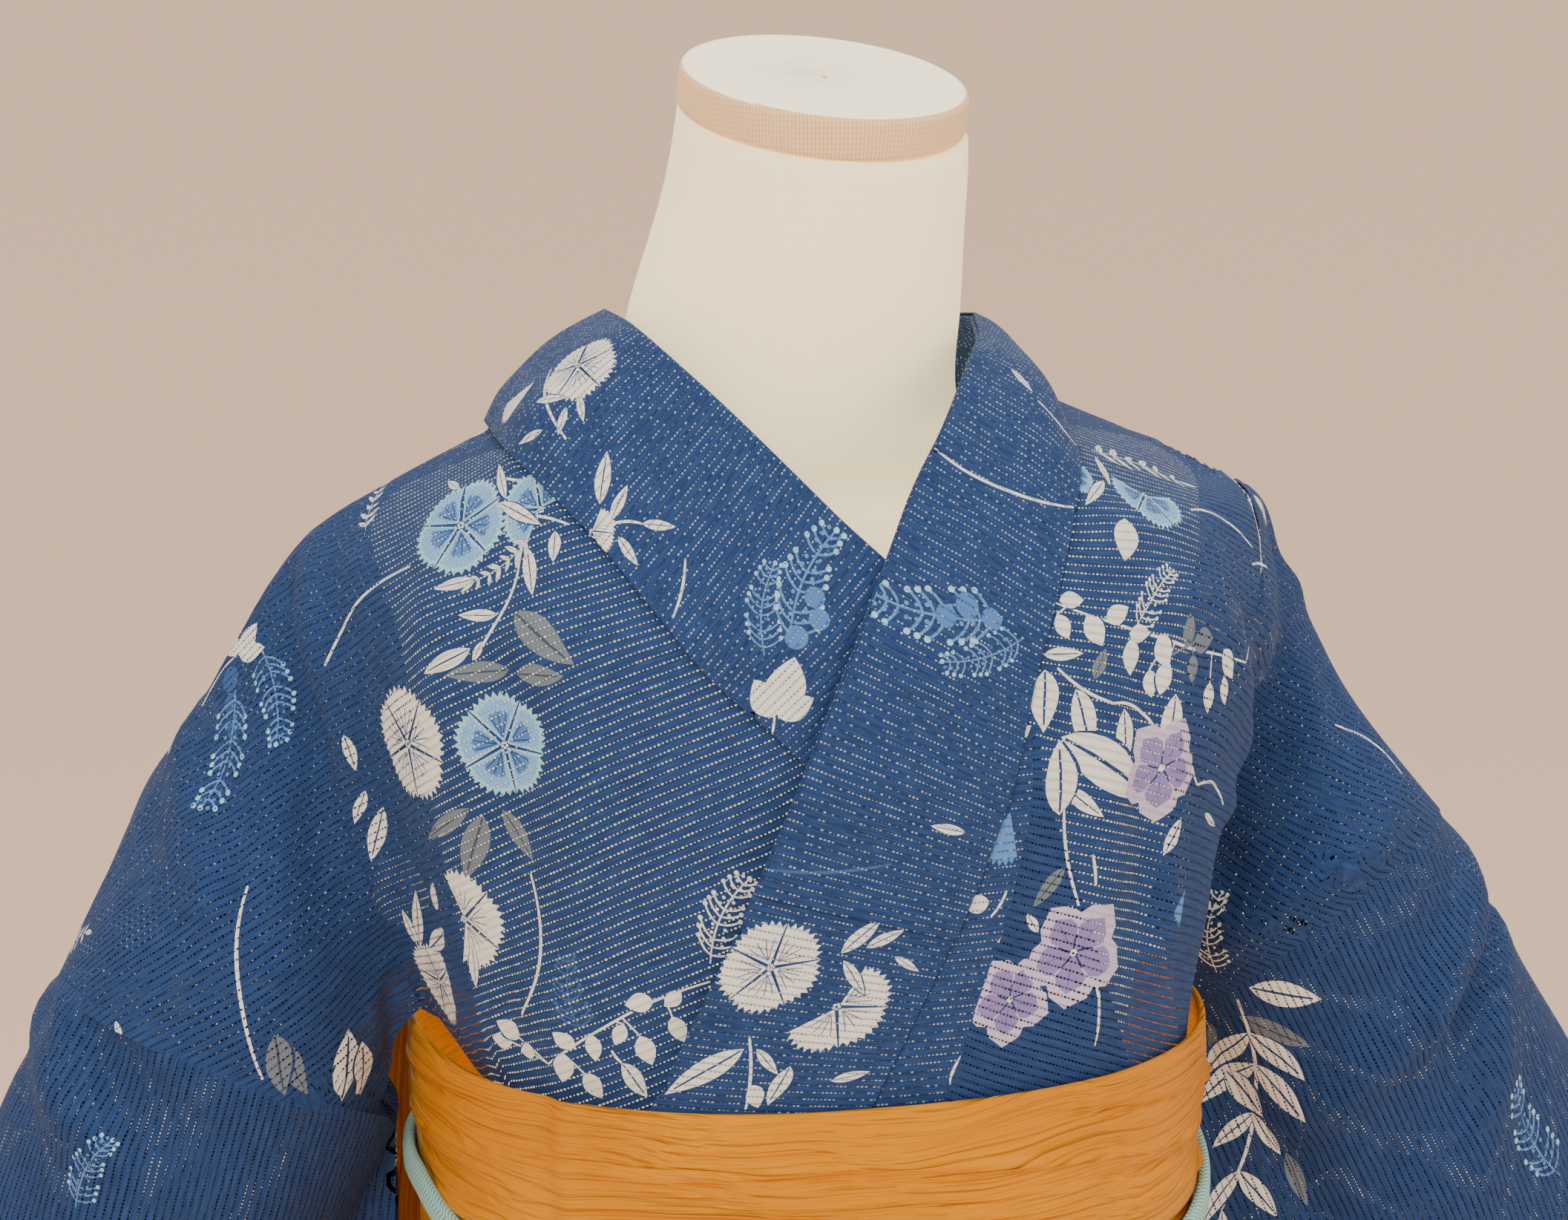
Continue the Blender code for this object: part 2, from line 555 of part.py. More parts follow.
def sleeve_rings(side, spans=SLEEVE_SPANS, rows_front=ROWS_FRONT, rows_back=ROWS_BACK, bag=BAG_DEPTHS):
    """Closed rings of the sleeve, from its seam to the cuff, with the armhole's own rows."""
    front_drops = [*(shares_down(rows_front) * RING_CLOSE * ARMHOLE), *bag, SLEEVE_DROP]
    back_drops = [*(back_shares(rows_back, NECK_ROWS)[1:] * RING_CLOSE * ARMHOLE), *bag]
    rings = []
    for i in range(spans + 1):
        width = SLEEVE_WIDTH * i / spans
        front = [sleeve_point(side, width, drop, True) for drop in front_drops]
        back = [sleeve_point(side, width, drop, False) for drop in back_drops]
        rings.append(front + back[::-1])
    rings = np.array(rings)
    away = arm_direction(side)
    fade = np.linspace(1, 0, spans + 1) ** 6
    drops = np.array(front_drops + back_drops[::-1])
    room = GAP + UNDERARM_GAP * smooth(drops, 0.12, ARMHOLE)
    return rings + away * (fade[:, None] * room[None, :])[..., None]


def ellipse(wide, deep, angle, power=2.0):
    """Point of a squared-off ellipse: angle 0 in front, growing towards +X."""
    s = np.sin(angle)
    c = np.cos(angle)
    size = (np.abs(s) ** power + np.abs(c) ** power) ** (-1 / power)
    return wide * s * size, -deep * c * size


def skirt_waves(angle, z):
    """Soft upright folds of the skirt, deeper towards the hem."""
    depth = 0.0038 * smooth(z, 0.82, 0.15) + 0.0006
    return depth * (np.cos(7 * angle + 0.6) + 0.5 * np.cos(11 * angle + 1.9))


def skirt_point(angle, z, over, clear=0.0):
    """Point on the skirt, or that far out from it."""
    heights = [row["z"] for row in SKIRT]
    wide = np.interp(z, heights, [row["wide"] for row in SKIRT])
    deep = np.interp(z, heights, [row["deep"] for row in SKIRT])
    out = skirt_waves(angle, z) + clear
    if over:
        out += SKIRT_OVER * (1 - smooth(np.degrees(angle), 62, 88)) * smooth(np.degrees(angle), -96, -90)
    x, y = ellipse(wide + out, deep + out, angle, 2.2)
    return (x, y, z)


def skirt_grid(piece, rows=SKIRT_ROWS, steps=None):
    angles = np.radians(np.linspace(piece["start"], piece["end"], (steps or piece["steps"]) + 1))
    heights = np.linspace(HEM, SKIRT_TOP, rows + 1)
    return np.array([[skirt_point(a, z, piece["over"]) for a in angles] for z in heights])


def obi_size(z):
    heights = [row["z"] for row in OBI][::-1]
    wide = np.interp(z, heights, [row["wide"] for row in OBI][::-1])
    deep = np.interp(z, heights, [row["deep"] for row in OBI][::-1])
    return wide, deep


def obi_point(angle, z, out=0.0):
    """Point on the obi's outer face."""
    wide, deep = obi_size(z)
    x, y = ellipse(wide + out, deep + out, angle, OBI_POWER)
    return (x, y, z)


def cord_height(angle):
    """The cord dips in front and rides up at the sides and back."""
    return CORD_SIDE_Z + (CORD_FRONT_Z - CORD_SIDE_Z) * max(0.0, math.cos(angle)) ** 1.3


def collection(name):
    made = bpy.data.collections.new(name)
    bpy.context.scene.collection.children.link(made)
    return made


def material(name, colour, roughness, metallic=0.0):
    made = bpy.data.materials.new(name)
    made.use_nodes = True
    shader = made.node_tree.nodes["Principled BSDF"]
    shader.inputs["Base Color"].default_value = (*colour, 1.0)
    shader.inputs["Roughness"].default_value = roughness
    shader.inputs["Metallic"].default_value = metallic
    return made


def new_object(name, bm, finish, group):
    mesh = bpy.data.meshes.new(name)
    bm.to_mesh(mesh)
    bm.free()
    mesh.shade_smooth()
    made = bpy.data.objects.new(name, mesh)
    made.data.materials.append(finish)
    group.objects.link(made)
    return made


def loft(rows, closed_rows=False, closed_columns=False):
    """Faces between a grid of points; closed_columns joins each row's ends into a ring."""
    rows = np.asarray(rows, float)
    bm = bmesh.new()
    verts = [[bm.verts.new(Vector(p)) for p in row] for row in rows]
    count_rows = len(verts) if closed_rows else len(verts) - 1
    width = len(verts[0])
    count_columns = width if closed_columns else width - 1
    for i in range(count_rows):
        for j in range(count_columns):
            a, b = verts[i], verts[(i + 1) % len(verts)]
            bm.faces.new((a[j], a[(j + 1) % width], b[(j + 1) % width], b[j]))
    return bm


def wall(name, bm, thickness, finish, group, offset=0.0):
    """An open surface given its thickness by Solidify."""
    made = new_object(name, bm, finish, group)
    shell = made.modifiers.new("Wall", "SOLIDIFY")
    shell.thickness = thickness
    shell.offset = offset
    shell.use_even_offset = False
    shell.use_quality_normals = True
    return made


def run_of(grid, first, count):
    """A run of a grid's columns, drawn back a gap at both ends; past the last comes the first."""
    columns = [(first + k) % grid.shape[1] for k in range(count + 1)]
    run = grid[:, columns].copy()
    for end, inner in ((0, 1), (-1, -2)):
        way = run[:, inner] - run[:, end]
        run[:, end] += way / np.linalg.norm(way, axis=1)[:, None] * GAP
    return run


def make_body(finish, group):
    """Each panel in two solids, its front and its back with the shoulder, for their collision."""
    front_rows = ROWS_FRONT - PARTED
    for side in ("right", "left"):
        grid = body_grid(side).transpose(1, 0, 2)
        front = run_of(grid, 0, front_rows)
        back = run_of(grid, front_rows, ROWS_FRONT + ROWS_BACK - front_rows)
        wall(f"body_{side}_front", loft(front), WALL, finish, group)
        wall(f"body_{side}_back", loft(back), WALL, finish, group)
        wall(f"okumi_{side}", loft(okumi_grid(side)), WALL, finish, group)


def make_collar(finish, group):
    shares = (0.0, 0.33, 0.67, 1.0)
    strip = collar_strip(shares)
    wall("collar", loft(strip), COLLAR_WALL, finish, group)
    first, last = 3, len(strip) - 3
    outer = over_collar(strip[first:last])
    wall("over_collar", loft(outer), WALL * 0.8, finish, group)


def over_collar(strip):
    """The second strip that lies on the collar's outer face."""
    along = np.gradient(strip, axis=0)
    across = np.gradient(strip, axis=1)
    normal = np.cross(along, across)
    normal /= np.linalg.norm(normal, axis=2)[..., None]
    if normal[0, 0] @ np.array([0, -1.0, 0]) < 0:
        normal = -normal
    inset = strip.copy()
    behind = smooth(strip[:, 0, 1], -0.04, 0.05)[:, None]
    inset[:, 0] += (strip[:, 1] - strip[:, 0]) * (0.03 + 0.24 * behind)
    return inset + normal * (CUT_LIFT + 0.0006 * behind)[..., None]


def make_sleeves(finish, group):
    """Each bag in two solids that meet just in front of its top fold and behind its lower edge."""
    for side in ("right", "left"):
        rings = sleeve_rings(side)
        below = ROWS_FRONT + len(BAG_DEPTHS) + 3 - PARTED
        front = run_of(rings, PARTED, below)
        back = run_of(rings, PARTED + below, rings.shape[1] - below)
        wall(f"sleeve_{side}_front", loft(front), WALL, finish, group)
        wall(f"sleeve_{side}_back", loft(back), WALL, finish, group)


def make_skirt(finish, group):
    for piece in SKIRT_PIECES:
        wall(piece["name"], loft(skirt_grid(piece)), WALL, finish, group)


def make_waist_fold(finish, group):
    """The cloth folded up at the waist, hanging out below the obi and turned in."""
    profile = (
        {"z": 0.900, "out": -0.0056},
        {"z": 0.872, "out": -0.0050},
        {"z": 0.850, "out": 0.0010},
        {"z": FOLD_BOTTOM + 0.012, "out": 0.0065},
        {"z": FOLD_BOTTOM, "out": 0.0035},
        {"z": FOLD_BOTTOM + 0.008, "out": -0.0010},
        {"z": 0.835, "out": -0.0050},
    )
    rings = []
    for row in profile:
        ring = []
        for k in range(OBI_STEPS):
            angle = math.tau * k / OBI_STEPS
            wide, deep = obi_size(OBI_BOTTOM)
            ripple = 0.0012 * math.cos(9 * angle) * float(smooth(row["z"], 0.87, 0.81))
            x, y = ellipse(wide + row["out"] + ripple, deep + row["out"] + ripple, angle, 2.2)
            ring.append((x, y, row["z"]))
        rings.append(ring)
    angles = [math.tau * k / OBI_STEPS for k in range(OBI_STEPS)]
    wrapped = [(angle + math.pi) % math.tau - math.pi for angle in angles]
    rings.append([skirt_point(angle, FOLD_INNER, True, FOLD_CLEAR) for angle in wrapped])
    wall("waist_fold", loft(rings, closed_columns=True), WALL, finish, group)


def make_obi(finish, group):
    rings = []
    for row in OBI:
        ring = []
        for k in range(OBI_STEPS):
            angle = math.tau * k / OBI_STEPS
            crinkle = 0.0007 * math.sin(5 * angle + 90 * row["z"])
            ring.append(obi_point(angle, row["z"], crinkle - OBI_WALL / 2))
        rings.append(ring)
    wall("obi_band", loft(rings, closed_columns=True), OBI_WALL, finish, group)


def make_bow(finish, group):
    """A soft bow tied behind: a wrapped knot, two loops and two hanging ends."""
    back = obi_size(0.95)[1]
    knot = []
    for k in range(16):
        angle = math.tau * k / 16
        knot.append([(x, back + BOW_STAND + 0.024 * math.cos(angle), 0.962 + 0.044 * math.sin(angle))
                     for x in (-0.026, -0.012, 0.0, 0.012, 0.026)])
    wall("bow_knot", loft(knot, closed_rows=True), OBI_WALL, finish, group)
    for side, sign in (("right", -1), ("left", 1)):
        rows = []
        for k in range(17):
            turn = math.pi * k / 16
            reach = math.sin(turn)
            x = 0.010 + 0.1645 * reach
            depth = 0.0173 + 0.0105 * float(smooth(reach, 0.15, 0.65))
            y = back + BOW_STAND + depth * math.cos(turn)
            half = 0.020 + 0.048 * float(smooth(reach, 0.15, 0.65))
            sag = 0.025 * reach**2
            row = []
            for share in (-1.0, -0.5, 0.0, 0.5, 1.0):
                fold = 0.0025 * math.cos(2 * math.pi * share) * reach * math.cos(turn)
                row.append((sign * x, y + fold, 0.962 + half * share - sag))
            rows.append(row)
        wall(f"bow_loop_{side}", loft(rows), OBI_WALL, finish, group)
    for side, sign in (("right", -1), ("left", 1)):
        rows = []
        for k in range(9):
            share = k / 8
            z = 0.9180 - 0.300 * share
            half = 0.016 + 0.042 * float(smooth(share, 0.0, 0.5))
            y = back + BOW_STAND + 0.007 * sign + 0.010 * math.sin(math.pi * share)
            row = []
            for step in range(7):
                across = -1 + step / 3
                x = sign * (0.030 + 0.020 * share) + half * across
                row.append((x, y + 0.0025 * math.cos(3 * math.pi * across) * share, z))
            rows.append(row)
        wall(f"bow_end_{side}", loft(rows), OBI_WALL, finish, group)


def make_cord(finish, group):
    """The flat cord that holds the obi: a closed band round it, and its flat knot in front."""
    steps = 36
    rings = []
    for k in range(steps):
        angle = math.tau * k / steps
        z = cord_height(angle)
        ring = []
        for j in range(6):
            turn = math.tau * j / 6
            up = CORD_WIDTH / 2 * math.cos(turn)
            out = CORD_THICK / 2 * math.sin(turn) + CORD_THICK / 2 + CORD_CLEAR
            ring.append(obi_point(angle, z, out)[:2] + (z + up,))
        rings.append(ring)
    bm = loft(rings, closed_rows=True, closed_columns=True)
    bmesh.ops.recalc_face_normals(bm, faces=bm.faces)
    new_object("cord_band", bm, finish, group)
    bm = bmesh.new()
    bmesh.ops.create_uvsphere(bm, u_segments=12, v_segments=8, radius=1.0)
    front = -obi_size(CORD_FRONT_Z)[1]
    for vert in bm.verts:
        vert.co *= Vector((0.015, 0.0065, 0.011))
        vert.co += Vector((0, front - 0.0131, CORD_FRONT_Z))
    new_object("cord_knot", bm, finish, group)


def make_form(cover, wood, metal, group):
    heights = [row["z"] for row in FORM]
    levels = []
    for low, high in zip(heights[:-1], heights[1:]):
        levels += [low, (low + high) / 2] if high - low > 0.035 else [low]
    levels.append(heights[-1])
    rings = []
    for z in levels:
        sizes = []
        for name in ("wide", "deep", "y", "power"):
            sizes.append(float(blend_steps(heights, [row[name] for row in FORM], [z])[0]))
        wide, deep, middle, power = sizes
        ring = []
        for k in range(FORM_STEPS):
            x, y = ellipse(wide, deep, math.tau * k / FORM_STEPS, power)
            rise = float(smooth(z, 1.26, 1.370))
            lean = (NECK_LEAN[0] + (NECK_LEAN[1] - NECK_LEAN[0]) * rise) * float(smooth(z, 1.22, 1.27))
            dip = (math.tan(CAP_NOD) * y - math.tan(CAP_DIP) * x) * rise
            ring.append((x + lean, y + middle, z + dip))
        rings.append(ring)
    bm = loft(rings, closed_columns=True)
    bm.verts.ensure_lookup_table()
    for row in (0, len(rings) - 1):
        start = row * FORM_STEPS
        bm.faces.new([bm.verts[start + k] for k in range(FORM_STEPS)])
    bmesh.ops.recalc_face_normals(bm, faces=bm.faces)
    bmesh.ops.triangulate(bm, faces=[f for f in bm.faces if len(f.verts) > 4])
    new_object("form_body", bm, cover, group)

    bpy.ops.mesh.primitive_cylinder_add(vertices=28, radius=1.0, depth=CAP_THICK, location=CAP_CENTRE)
    cap = bpy.context.object
    cap.name = "form_cap"
    cap.scale = (0.0535, 0.0590, 1.0)
    cap.rotation_euler = (CAP_NOD, CAP_DIP, 0.0)
    finish_primitive(cap, wood, group, 0.004)

    pole_foot = BASE_HEIGHT + GAP
    pole_top = FORM[0]["z"] - GAP
    bpy.ops.mesh.primitive_cylinder_add(vertices=24, radius=POLE_RADIUS, depth=pole_top - pole_foot,
                                        location=(0, 0, (pole_top + pole_foot) / 2))
    pole = bpy.context.object
    pole.name = "stand_pole"
    finish_primitive(pole, metal, group, 0.0)
    bpy.ops.mesh.primitive_cylinder_add(vertices=40, radius=BASE_RADIUS, depth=BASE_HEIGHT,
                                        location=(0, 0, BASE_HEIGHT / 2))
    base = bpy.context.object
    base.name = "stand_base"
    finish_primitive(base, metal, group, 0.004)


def finish_primitive(made, finish, group, edge):
    made.data.name = made.name
    made.data.materials.append(finish)
    for owner in list(made.users_collection):
        owner.objects.unlink(made)
    group.objects.link(made)
    bpy.context.view_layer.objects.active = made
    made.select_set(True)
    bpy.ops.object.transform_apply(location=True, rotation=True, scale=True)
    made.select_set(False)
    if edge:
        bevel = made.modifiers.new("Edge", "BEVEL")
        bevel.width = edge
        bevel.segments = 2
        bevel.limit_method = "ANGLE"
    made.data.shade_smooth()


def main():
    for old in list(bpy.data.objects):
        bpy.data.objects.remove(old, do_unlink=True)
    group = collection("yukata_on_form")
    cotton = material("navy_cotton", (0.020, 0.062, 0.190), 0.85)
    obi_cloth = material("mustard_obi", (0.62, 0.27, 0.02), 0.55)
    braid = material("mint_cord", (0.34, 0.62, 0.55), 0.6)
    jersey = material("cream_jersey", (0.86, 0.80, 0.66), 0.9)
    rim = material("beige_cap", (0.72, 0.53, 0.33), 0.6)
    metal = material("painted_metal", (0.75, 0.74, 0.72), 0.4, 0.6)
    make_body(cotton, group)
    make_collar(cotton, group)
    make_sleeves(cotton, group)
    make_skirt(cotton, group)
    make_waist_fold(cotton, group)
    make_obi(obi_cloth, group)
    make_bow(obi_cloth, group)
    make_cord(braid, group)
    make_form(jersey, rim, metal, group)


if __name__ == "__main__":
    main()
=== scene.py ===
"""Looks of a cotton yukata with its soft obi, on a limbless dress form.

The cloth is cut, printed flat and laid on the drape: each panel's surface is worked out from the
garment's sizes, unwrapped, printed with its flowers in the flat, and carried back on to its form.
"""
import math
import random

import bmesh
import bpy
import numpy as np
from bpy.props import FloatProperty, FloatVectorProperty, IntProperty
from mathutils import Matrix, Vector
from mathutils.bvhtree import BVHTree
from mathutils.geometry import delaunay_2d_cdt


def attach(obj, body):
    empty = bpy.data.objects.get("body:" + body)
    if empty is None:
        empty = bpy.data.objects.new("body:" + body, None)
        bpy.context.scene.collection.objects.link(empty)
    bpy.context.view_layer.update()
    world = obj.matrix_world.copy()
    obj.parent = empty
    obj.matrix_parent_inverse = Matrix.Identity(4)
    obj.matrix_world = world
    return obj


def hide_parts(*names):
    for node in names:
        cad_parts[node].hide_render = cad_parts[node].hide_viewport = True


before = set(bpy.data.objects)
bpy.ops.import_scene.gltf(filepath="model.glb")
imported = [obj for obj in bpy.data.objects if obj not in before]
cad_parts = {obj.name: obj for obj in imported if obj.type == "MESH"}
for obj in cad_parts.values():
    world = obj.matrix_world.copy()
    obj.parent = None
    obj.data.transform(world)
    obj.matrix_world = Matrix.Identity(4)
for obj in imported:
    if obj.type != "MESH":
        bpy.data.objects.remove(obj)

bl_info = {
    "name": "Yukata on a form",
    "version": (1, 0, 0),
    "blender": (4, 5, 0),
    "location": "3D view, sidebar, Yukata",
    "description": "Builds a printed openwork yukata, its soft obi and the form that it is worn on",
    "category": "Object",
}

# Cloth sizes
COLLAR_WALL = 0.0022  # the collar strip is folded double
OBI_WALL = 0.0026
GAP = 0.0003
UNDERARM_GAP = 0.0020  # further clearance between sleeve and panel at the underarm
NECK_GAP = 0.0013  # half the clearance where collar and panel meet at a steep angle
OVER_LIFT = 0.0060  # the left front lies this far over the right one
CUT_LIFT = 0.0021  # the over-collar lies this far out from the collar's middle
SLEEVE_WIDTH = 0.33
SLEEVE_DROP = 0.49
ARMHOLE = 0.23
RING_DEPTH = {"right": 0.070, "left": 0.052}  # half the armhole ring, front to back
RING_RISE = {"right": 0.014, "left": 0.026}  # the seam climbs this much in front
RING_MIDDLE = 0.045  # how far back the middle of the ring lies
BACK_RISE = {"right": 0.0, "left": 0.015}  # the back's outer end climbs this much with its ring
RING_CLOSE = 0.965  # share of the half ring that each panel goes round
OKUMI_AT_OBI = 0.029

# Heights
OBI_TOP = 1.030
OBI_BOTTOM = 0.870
TUCK = 1.010  # the upper panels end here, under the obi
FOLD_BOTTOM = 0.800  # lower edge of the waist fold
FOLD_INNER = 0.858  # its turned-in edge, which lies on the skirt
FOLD_CLEAR = 0.0023
SKIRT_TOP = 0.925
HEM = 0.060

# Mesh counts
FRONT_ROWS = 66
BACK_ROWS = 60
BODY_COLUMNS = 72
NECK_ROWS = 22  # rows of the back that follow the neck seam, from shoulder to nape
COLLAR_COLUMNS = 24
OVER_END_ROWS = 12  # the over-collar ends this many rows above the obi's tuck
OKUMI_ROWS = 150
OKUMI_COLUMNS = 14
SLEEVE_ROWS = 92  # on each side of the fold
SLEEVE_SPANS = 64
SKIRT_ROWS = 110
ROUND_STEPS = 300  # round the waist fold

DOWN = (0.0, 0.18, 0.36, 0.53, 0.70, 1.0)  # where the six stations lie, shoulder to obi

# The clothed trunk, seen from above: z, half width, half depth
TRUNK = (
    (0.95, 0.143, 0.120), (1.00, 0.143, 0.120), (1.05, 0.148, 0.124), (1.10, 0.153, 0.127),
    (1.15, 0.160, 0.125), (1.20, 0.165, 0.112), (1.25, 0.130, 0.085), (1.29, 0.090, 0.060),
)
TRUNK_POWER = 2.4
ON_TRUNK = None  # a station whose depth is read from the trunk

# Crest of the shoulder and wing, from the collar to the top of the sleeve seam
CREST = {
    "right": (
        (0.00, -0.1155, 0.032, 1.2541), (0.16, -0.1560, 0.037, 1.2330), (0.28, -0.1820, 0.042, 1.2175),
        (0.40, -0.2030, 0.047, 1.1860), (0.57, -0.2246, 0.052, 1.1487), (0.73, -0.2458, 0.057, 1.1090),
        (0.87, -0.2641, 0.061, 1.0752), (1.00, -0.2790, 0.065, 1.0410),
    ),
    "left": (
        (0.00, 0.0885, 0.030, 1.2635), (0.11, 0.1192, 0.033, 1.2463), (0.22, 0.1519, 0.035, 1.2364),
        (0.35, 0.1888, 0.038, 1.2135), (0.43, 0.2010, 0.040, 1.1965), (0.66, 0.2290, 0.048, 1.1357),
        (0.85, 0.2510, 0.053, 1.1005), (1.00, 0.2710, 0.059, 1.0700),
    ),
}
UNDERARM = {"right": (-0.1545, 0.030, 0.985), "left": (0.1670, 0.030, 1.003)}

# Seam between collar and front, shoulder to obi: x, y, z at the six stations
COLLAR_SEAM = {
    "right": (
        (-0.1155, 0.032, 1.2541), (-0.1200, -0.026, 1.2560), (-0.0985, ON_TRUNK, 1.2320),
        (-0.0662, ON_TRUNK, 1.1897), (-0.0296, ON_TRUNK, 1.1519), (0.0300, ON_TRUNK, TUCK),
    ),
    "left": (
        (0.0885, 0.030, 1.2635), (0.0905, -0.030, 1.2570), (0.0774, ON_TRUNK, 1.2341),
        (0.0559, ON_TRUNK, 1.1905), (0.0395, ON_TRUNK, 1.1390), (-0.0190, ON_TRUNK, TUCK),
    ),
}
# Free edge of the collar at the same stations
COLLAR_EDGE = {
    "right": (
        (-0.0690, 0.030, 1.2950), (-0.0710, -0.022, 1.2990), (-0.0500, -0.0610, 1.2785),
        (-0.0147, ON_TRUNK, 1.2411), (0.0310, ON_TRUNK, 1.1920), (0.1030, ON_TRUNK, TUCK),
    ),
    "left": (
        (0.0738, 0.030, 1.2870), (0.0560, -0.035, 1.2890), (0.0300, -0.0780, 1.2655),
        (0.0015, ON_TRUNK, 1.2240), (-0.0275, ON_TRUNK, 1.1695), (-0.0955, ON_TRUNK, TUCK),
    ),
}
NECK_BACK = {"right": (-0.0800, 0.084, 1.2330), "left": (0.0680, 0.086, 1.2370)}
EDGE_BACK = {"right": (-0.0560, 0.078, 1.2830), "left": (0.0570, 0.080, 1.2780)}
NAPE_SEAM = (0.0, 0.113, 1.2120)
NAPE_EDGE = (0.0, 0.116, 1.2630)
KENSAKI = {"right": 0.72, "left": 0.62}  # where the okumi's point starts, as a share of the way down

# Lines down the front panels: the share of the panel's width, the share of the crest that each
# leaves from, and its five stations below the crest
FRONT_LINES = {
    "right": (
        (0.16, 0.16, (-0.153, -0.018, 1.226), (-0.138, ON_TRUNK, 1.190),
         (-0.118, ON_TRUNK, 1.140), (-0.100, ON_TRUNK, 1.085), (-0.070, ON_TRUNK, TUCK)),
        (0.33, 0.29, (-0.181, -0.005, 1.195), (-0.166, -0.038, 1.150),
         (-0.150, -0.055, 1.105), (-0.137, -0.060, 1.058), (-0.119, ON_TRUNK, TUCK)),
        (0.47, 0.41, (-0.194, 0.016, 1.163), (-0.181, 0.000, 1.130),
         (-0.169, -0.002, 1.092), (-0.157, 0.003, 1.058), (-0.1475, 0.004, 1.038)),
        (0.74, 0.70, (-0.238, 0.020, 1.105), (-0.226, -0.012, 1.080),
         (-0.209, -0.024, 1.052), (-0.185, -0.014, 1.022), (-0.163, 0.012, 0.999)),
    ),
    "left": (
        (0.16, 0.19, (0.146, -0.022, 1.228), (0.130, ON_TRUNK, 1.193),
         (0.113, ON_TRUNK, 1.150), (0.098, ON_TRUNK, 1.095), (0.075, ON_TRUNK, TUCK)),
        (0.33, 0.34, (0.184, -0.010, 1.195), (0.168, -0.040, 1.155),
         (0.151, -0.052, 1.110), (0.143, -0.052, 1.062), (0.126, ON_TRUNK, TUCK)),
        (0.47, 0.44, (0.197, 0.018, 1.160), (0.180, 0.008, 1.125),
         (0.164, 0.012, 1.088), (0.155, 0.014, 1.058), (0.1490, 0.010, 1.038)),
        (0.74, 0.72, (0.243, 0.018, 1.108), (0.232, -0.006, 1.090),
         (0.212, -0.015, 1.072), (0.186, -0.008, 1.049), (0.160, 0.018, 1.023)),
    ),
}
# Lines down the back in the same form, alike on both sides
BACK_LINES = (
    (0.16, 0.16, (0.130, 0.083, 1.222), (0.086, 0.116, 1.190),
     (0.064, 0.127, 1.145), (0.057, 0.126, 1.085), (0.052, 0.1135, TUCK)),
    (0.33, 0.31, (0.172, 0.084, 1.190), (0.152, 0.108, 1.155),
     (0.128, 0.117, 1.118), (0.111, 0.103, 1.070), (0.101, 0.0870, TUCK)),
    (0.47, 0.43, (0.197, 0.080, 1.160), (0.180, 0.084, 1.125),
     (0.164, 0.076, 1.090), (0.152, 0.062, 1.058), (0.1400, 0.058, 1.040)),
    (0.74, 0.71, (0.242, 0.088, 1.105), (0.232, 0.108, 1.083),
     (0.216, 0.114, 1.056), (0.193, 0.098, 1.028), (0.167, 0.058, 1.002)),
)
CENTRE_BACK = ((0.0, 0.122, 1.150), (0.0, 0.122, 1.090), (0.0, 0.1155, TUCK))

# Sleeve corners, outward and upward from the seam's top: end of the fold, inner low, outer low
SLEEVE_CORNERS = {
    "right": ((0.112, -0.306), (-0.122, -0.318), (-0.030, -0.655)),
    "left": ((0.185, -0.265), (-0.112, -0.318), (0.020, -0.650)),
}
SLEEVE_LEAN = 0.040  # the bag hangs this far back at its lower edge

# Skirt and obi: z, half width, half depth
SKIRT = (
    (HEM, 0.156, 0.122), (0.30, 0.160, 0.125), (0.60, 0.163, 0.125), (0.74, 0.157, 0.122),
    (0.79, 0.1445, 0.118), (0.87, 0.1370, 0.112), (SKIRT_TOP, 0.1330, 0.107),
)
SKIRT_OVER = 0.0040  # the left front of the skirt hangs this far over the right
SKIRT_PIECES = (
    ("skirt_back_right", -179.92, -92.0, False), ("skirt_back_left", 92.0, 179.92, False),
    ("skirt_front_right_under", -91.8, 4.0, False), ("skirt_okumi_right_under", 4.2, 52.0, False),
    ("skirt_front_left_over", -4.0, 91.8, True), ("skirt_okumi_left_over", -58.0, -4.2, True),
)
OBI = (
    (OBI_BOTTOM, 0.1530, 0.1360), (0.910, 0.1505, 0.1350), (0.945, 0.1475, 0.1330), (0.980, 0.1490, 0.1340),
    (1.010, 0.1520, 0.1350), (OBI_TOP, 0.1512, 0.1335),
)
OBI_POWER = 2.35  # how square its plan is
BOW_STAND = 0.0317  # from the obi to the middle of the bow
BOW_Z = 0.962  # middle of its knot
CORD_WIDTH = 0.012
CORD_THICK = 0.005
CORD_CLEAR = 0.0012  # from the obi, past its crinkles
CORD_FRONT_Z = 0.938
CORD_SIDE_Z = 0.972

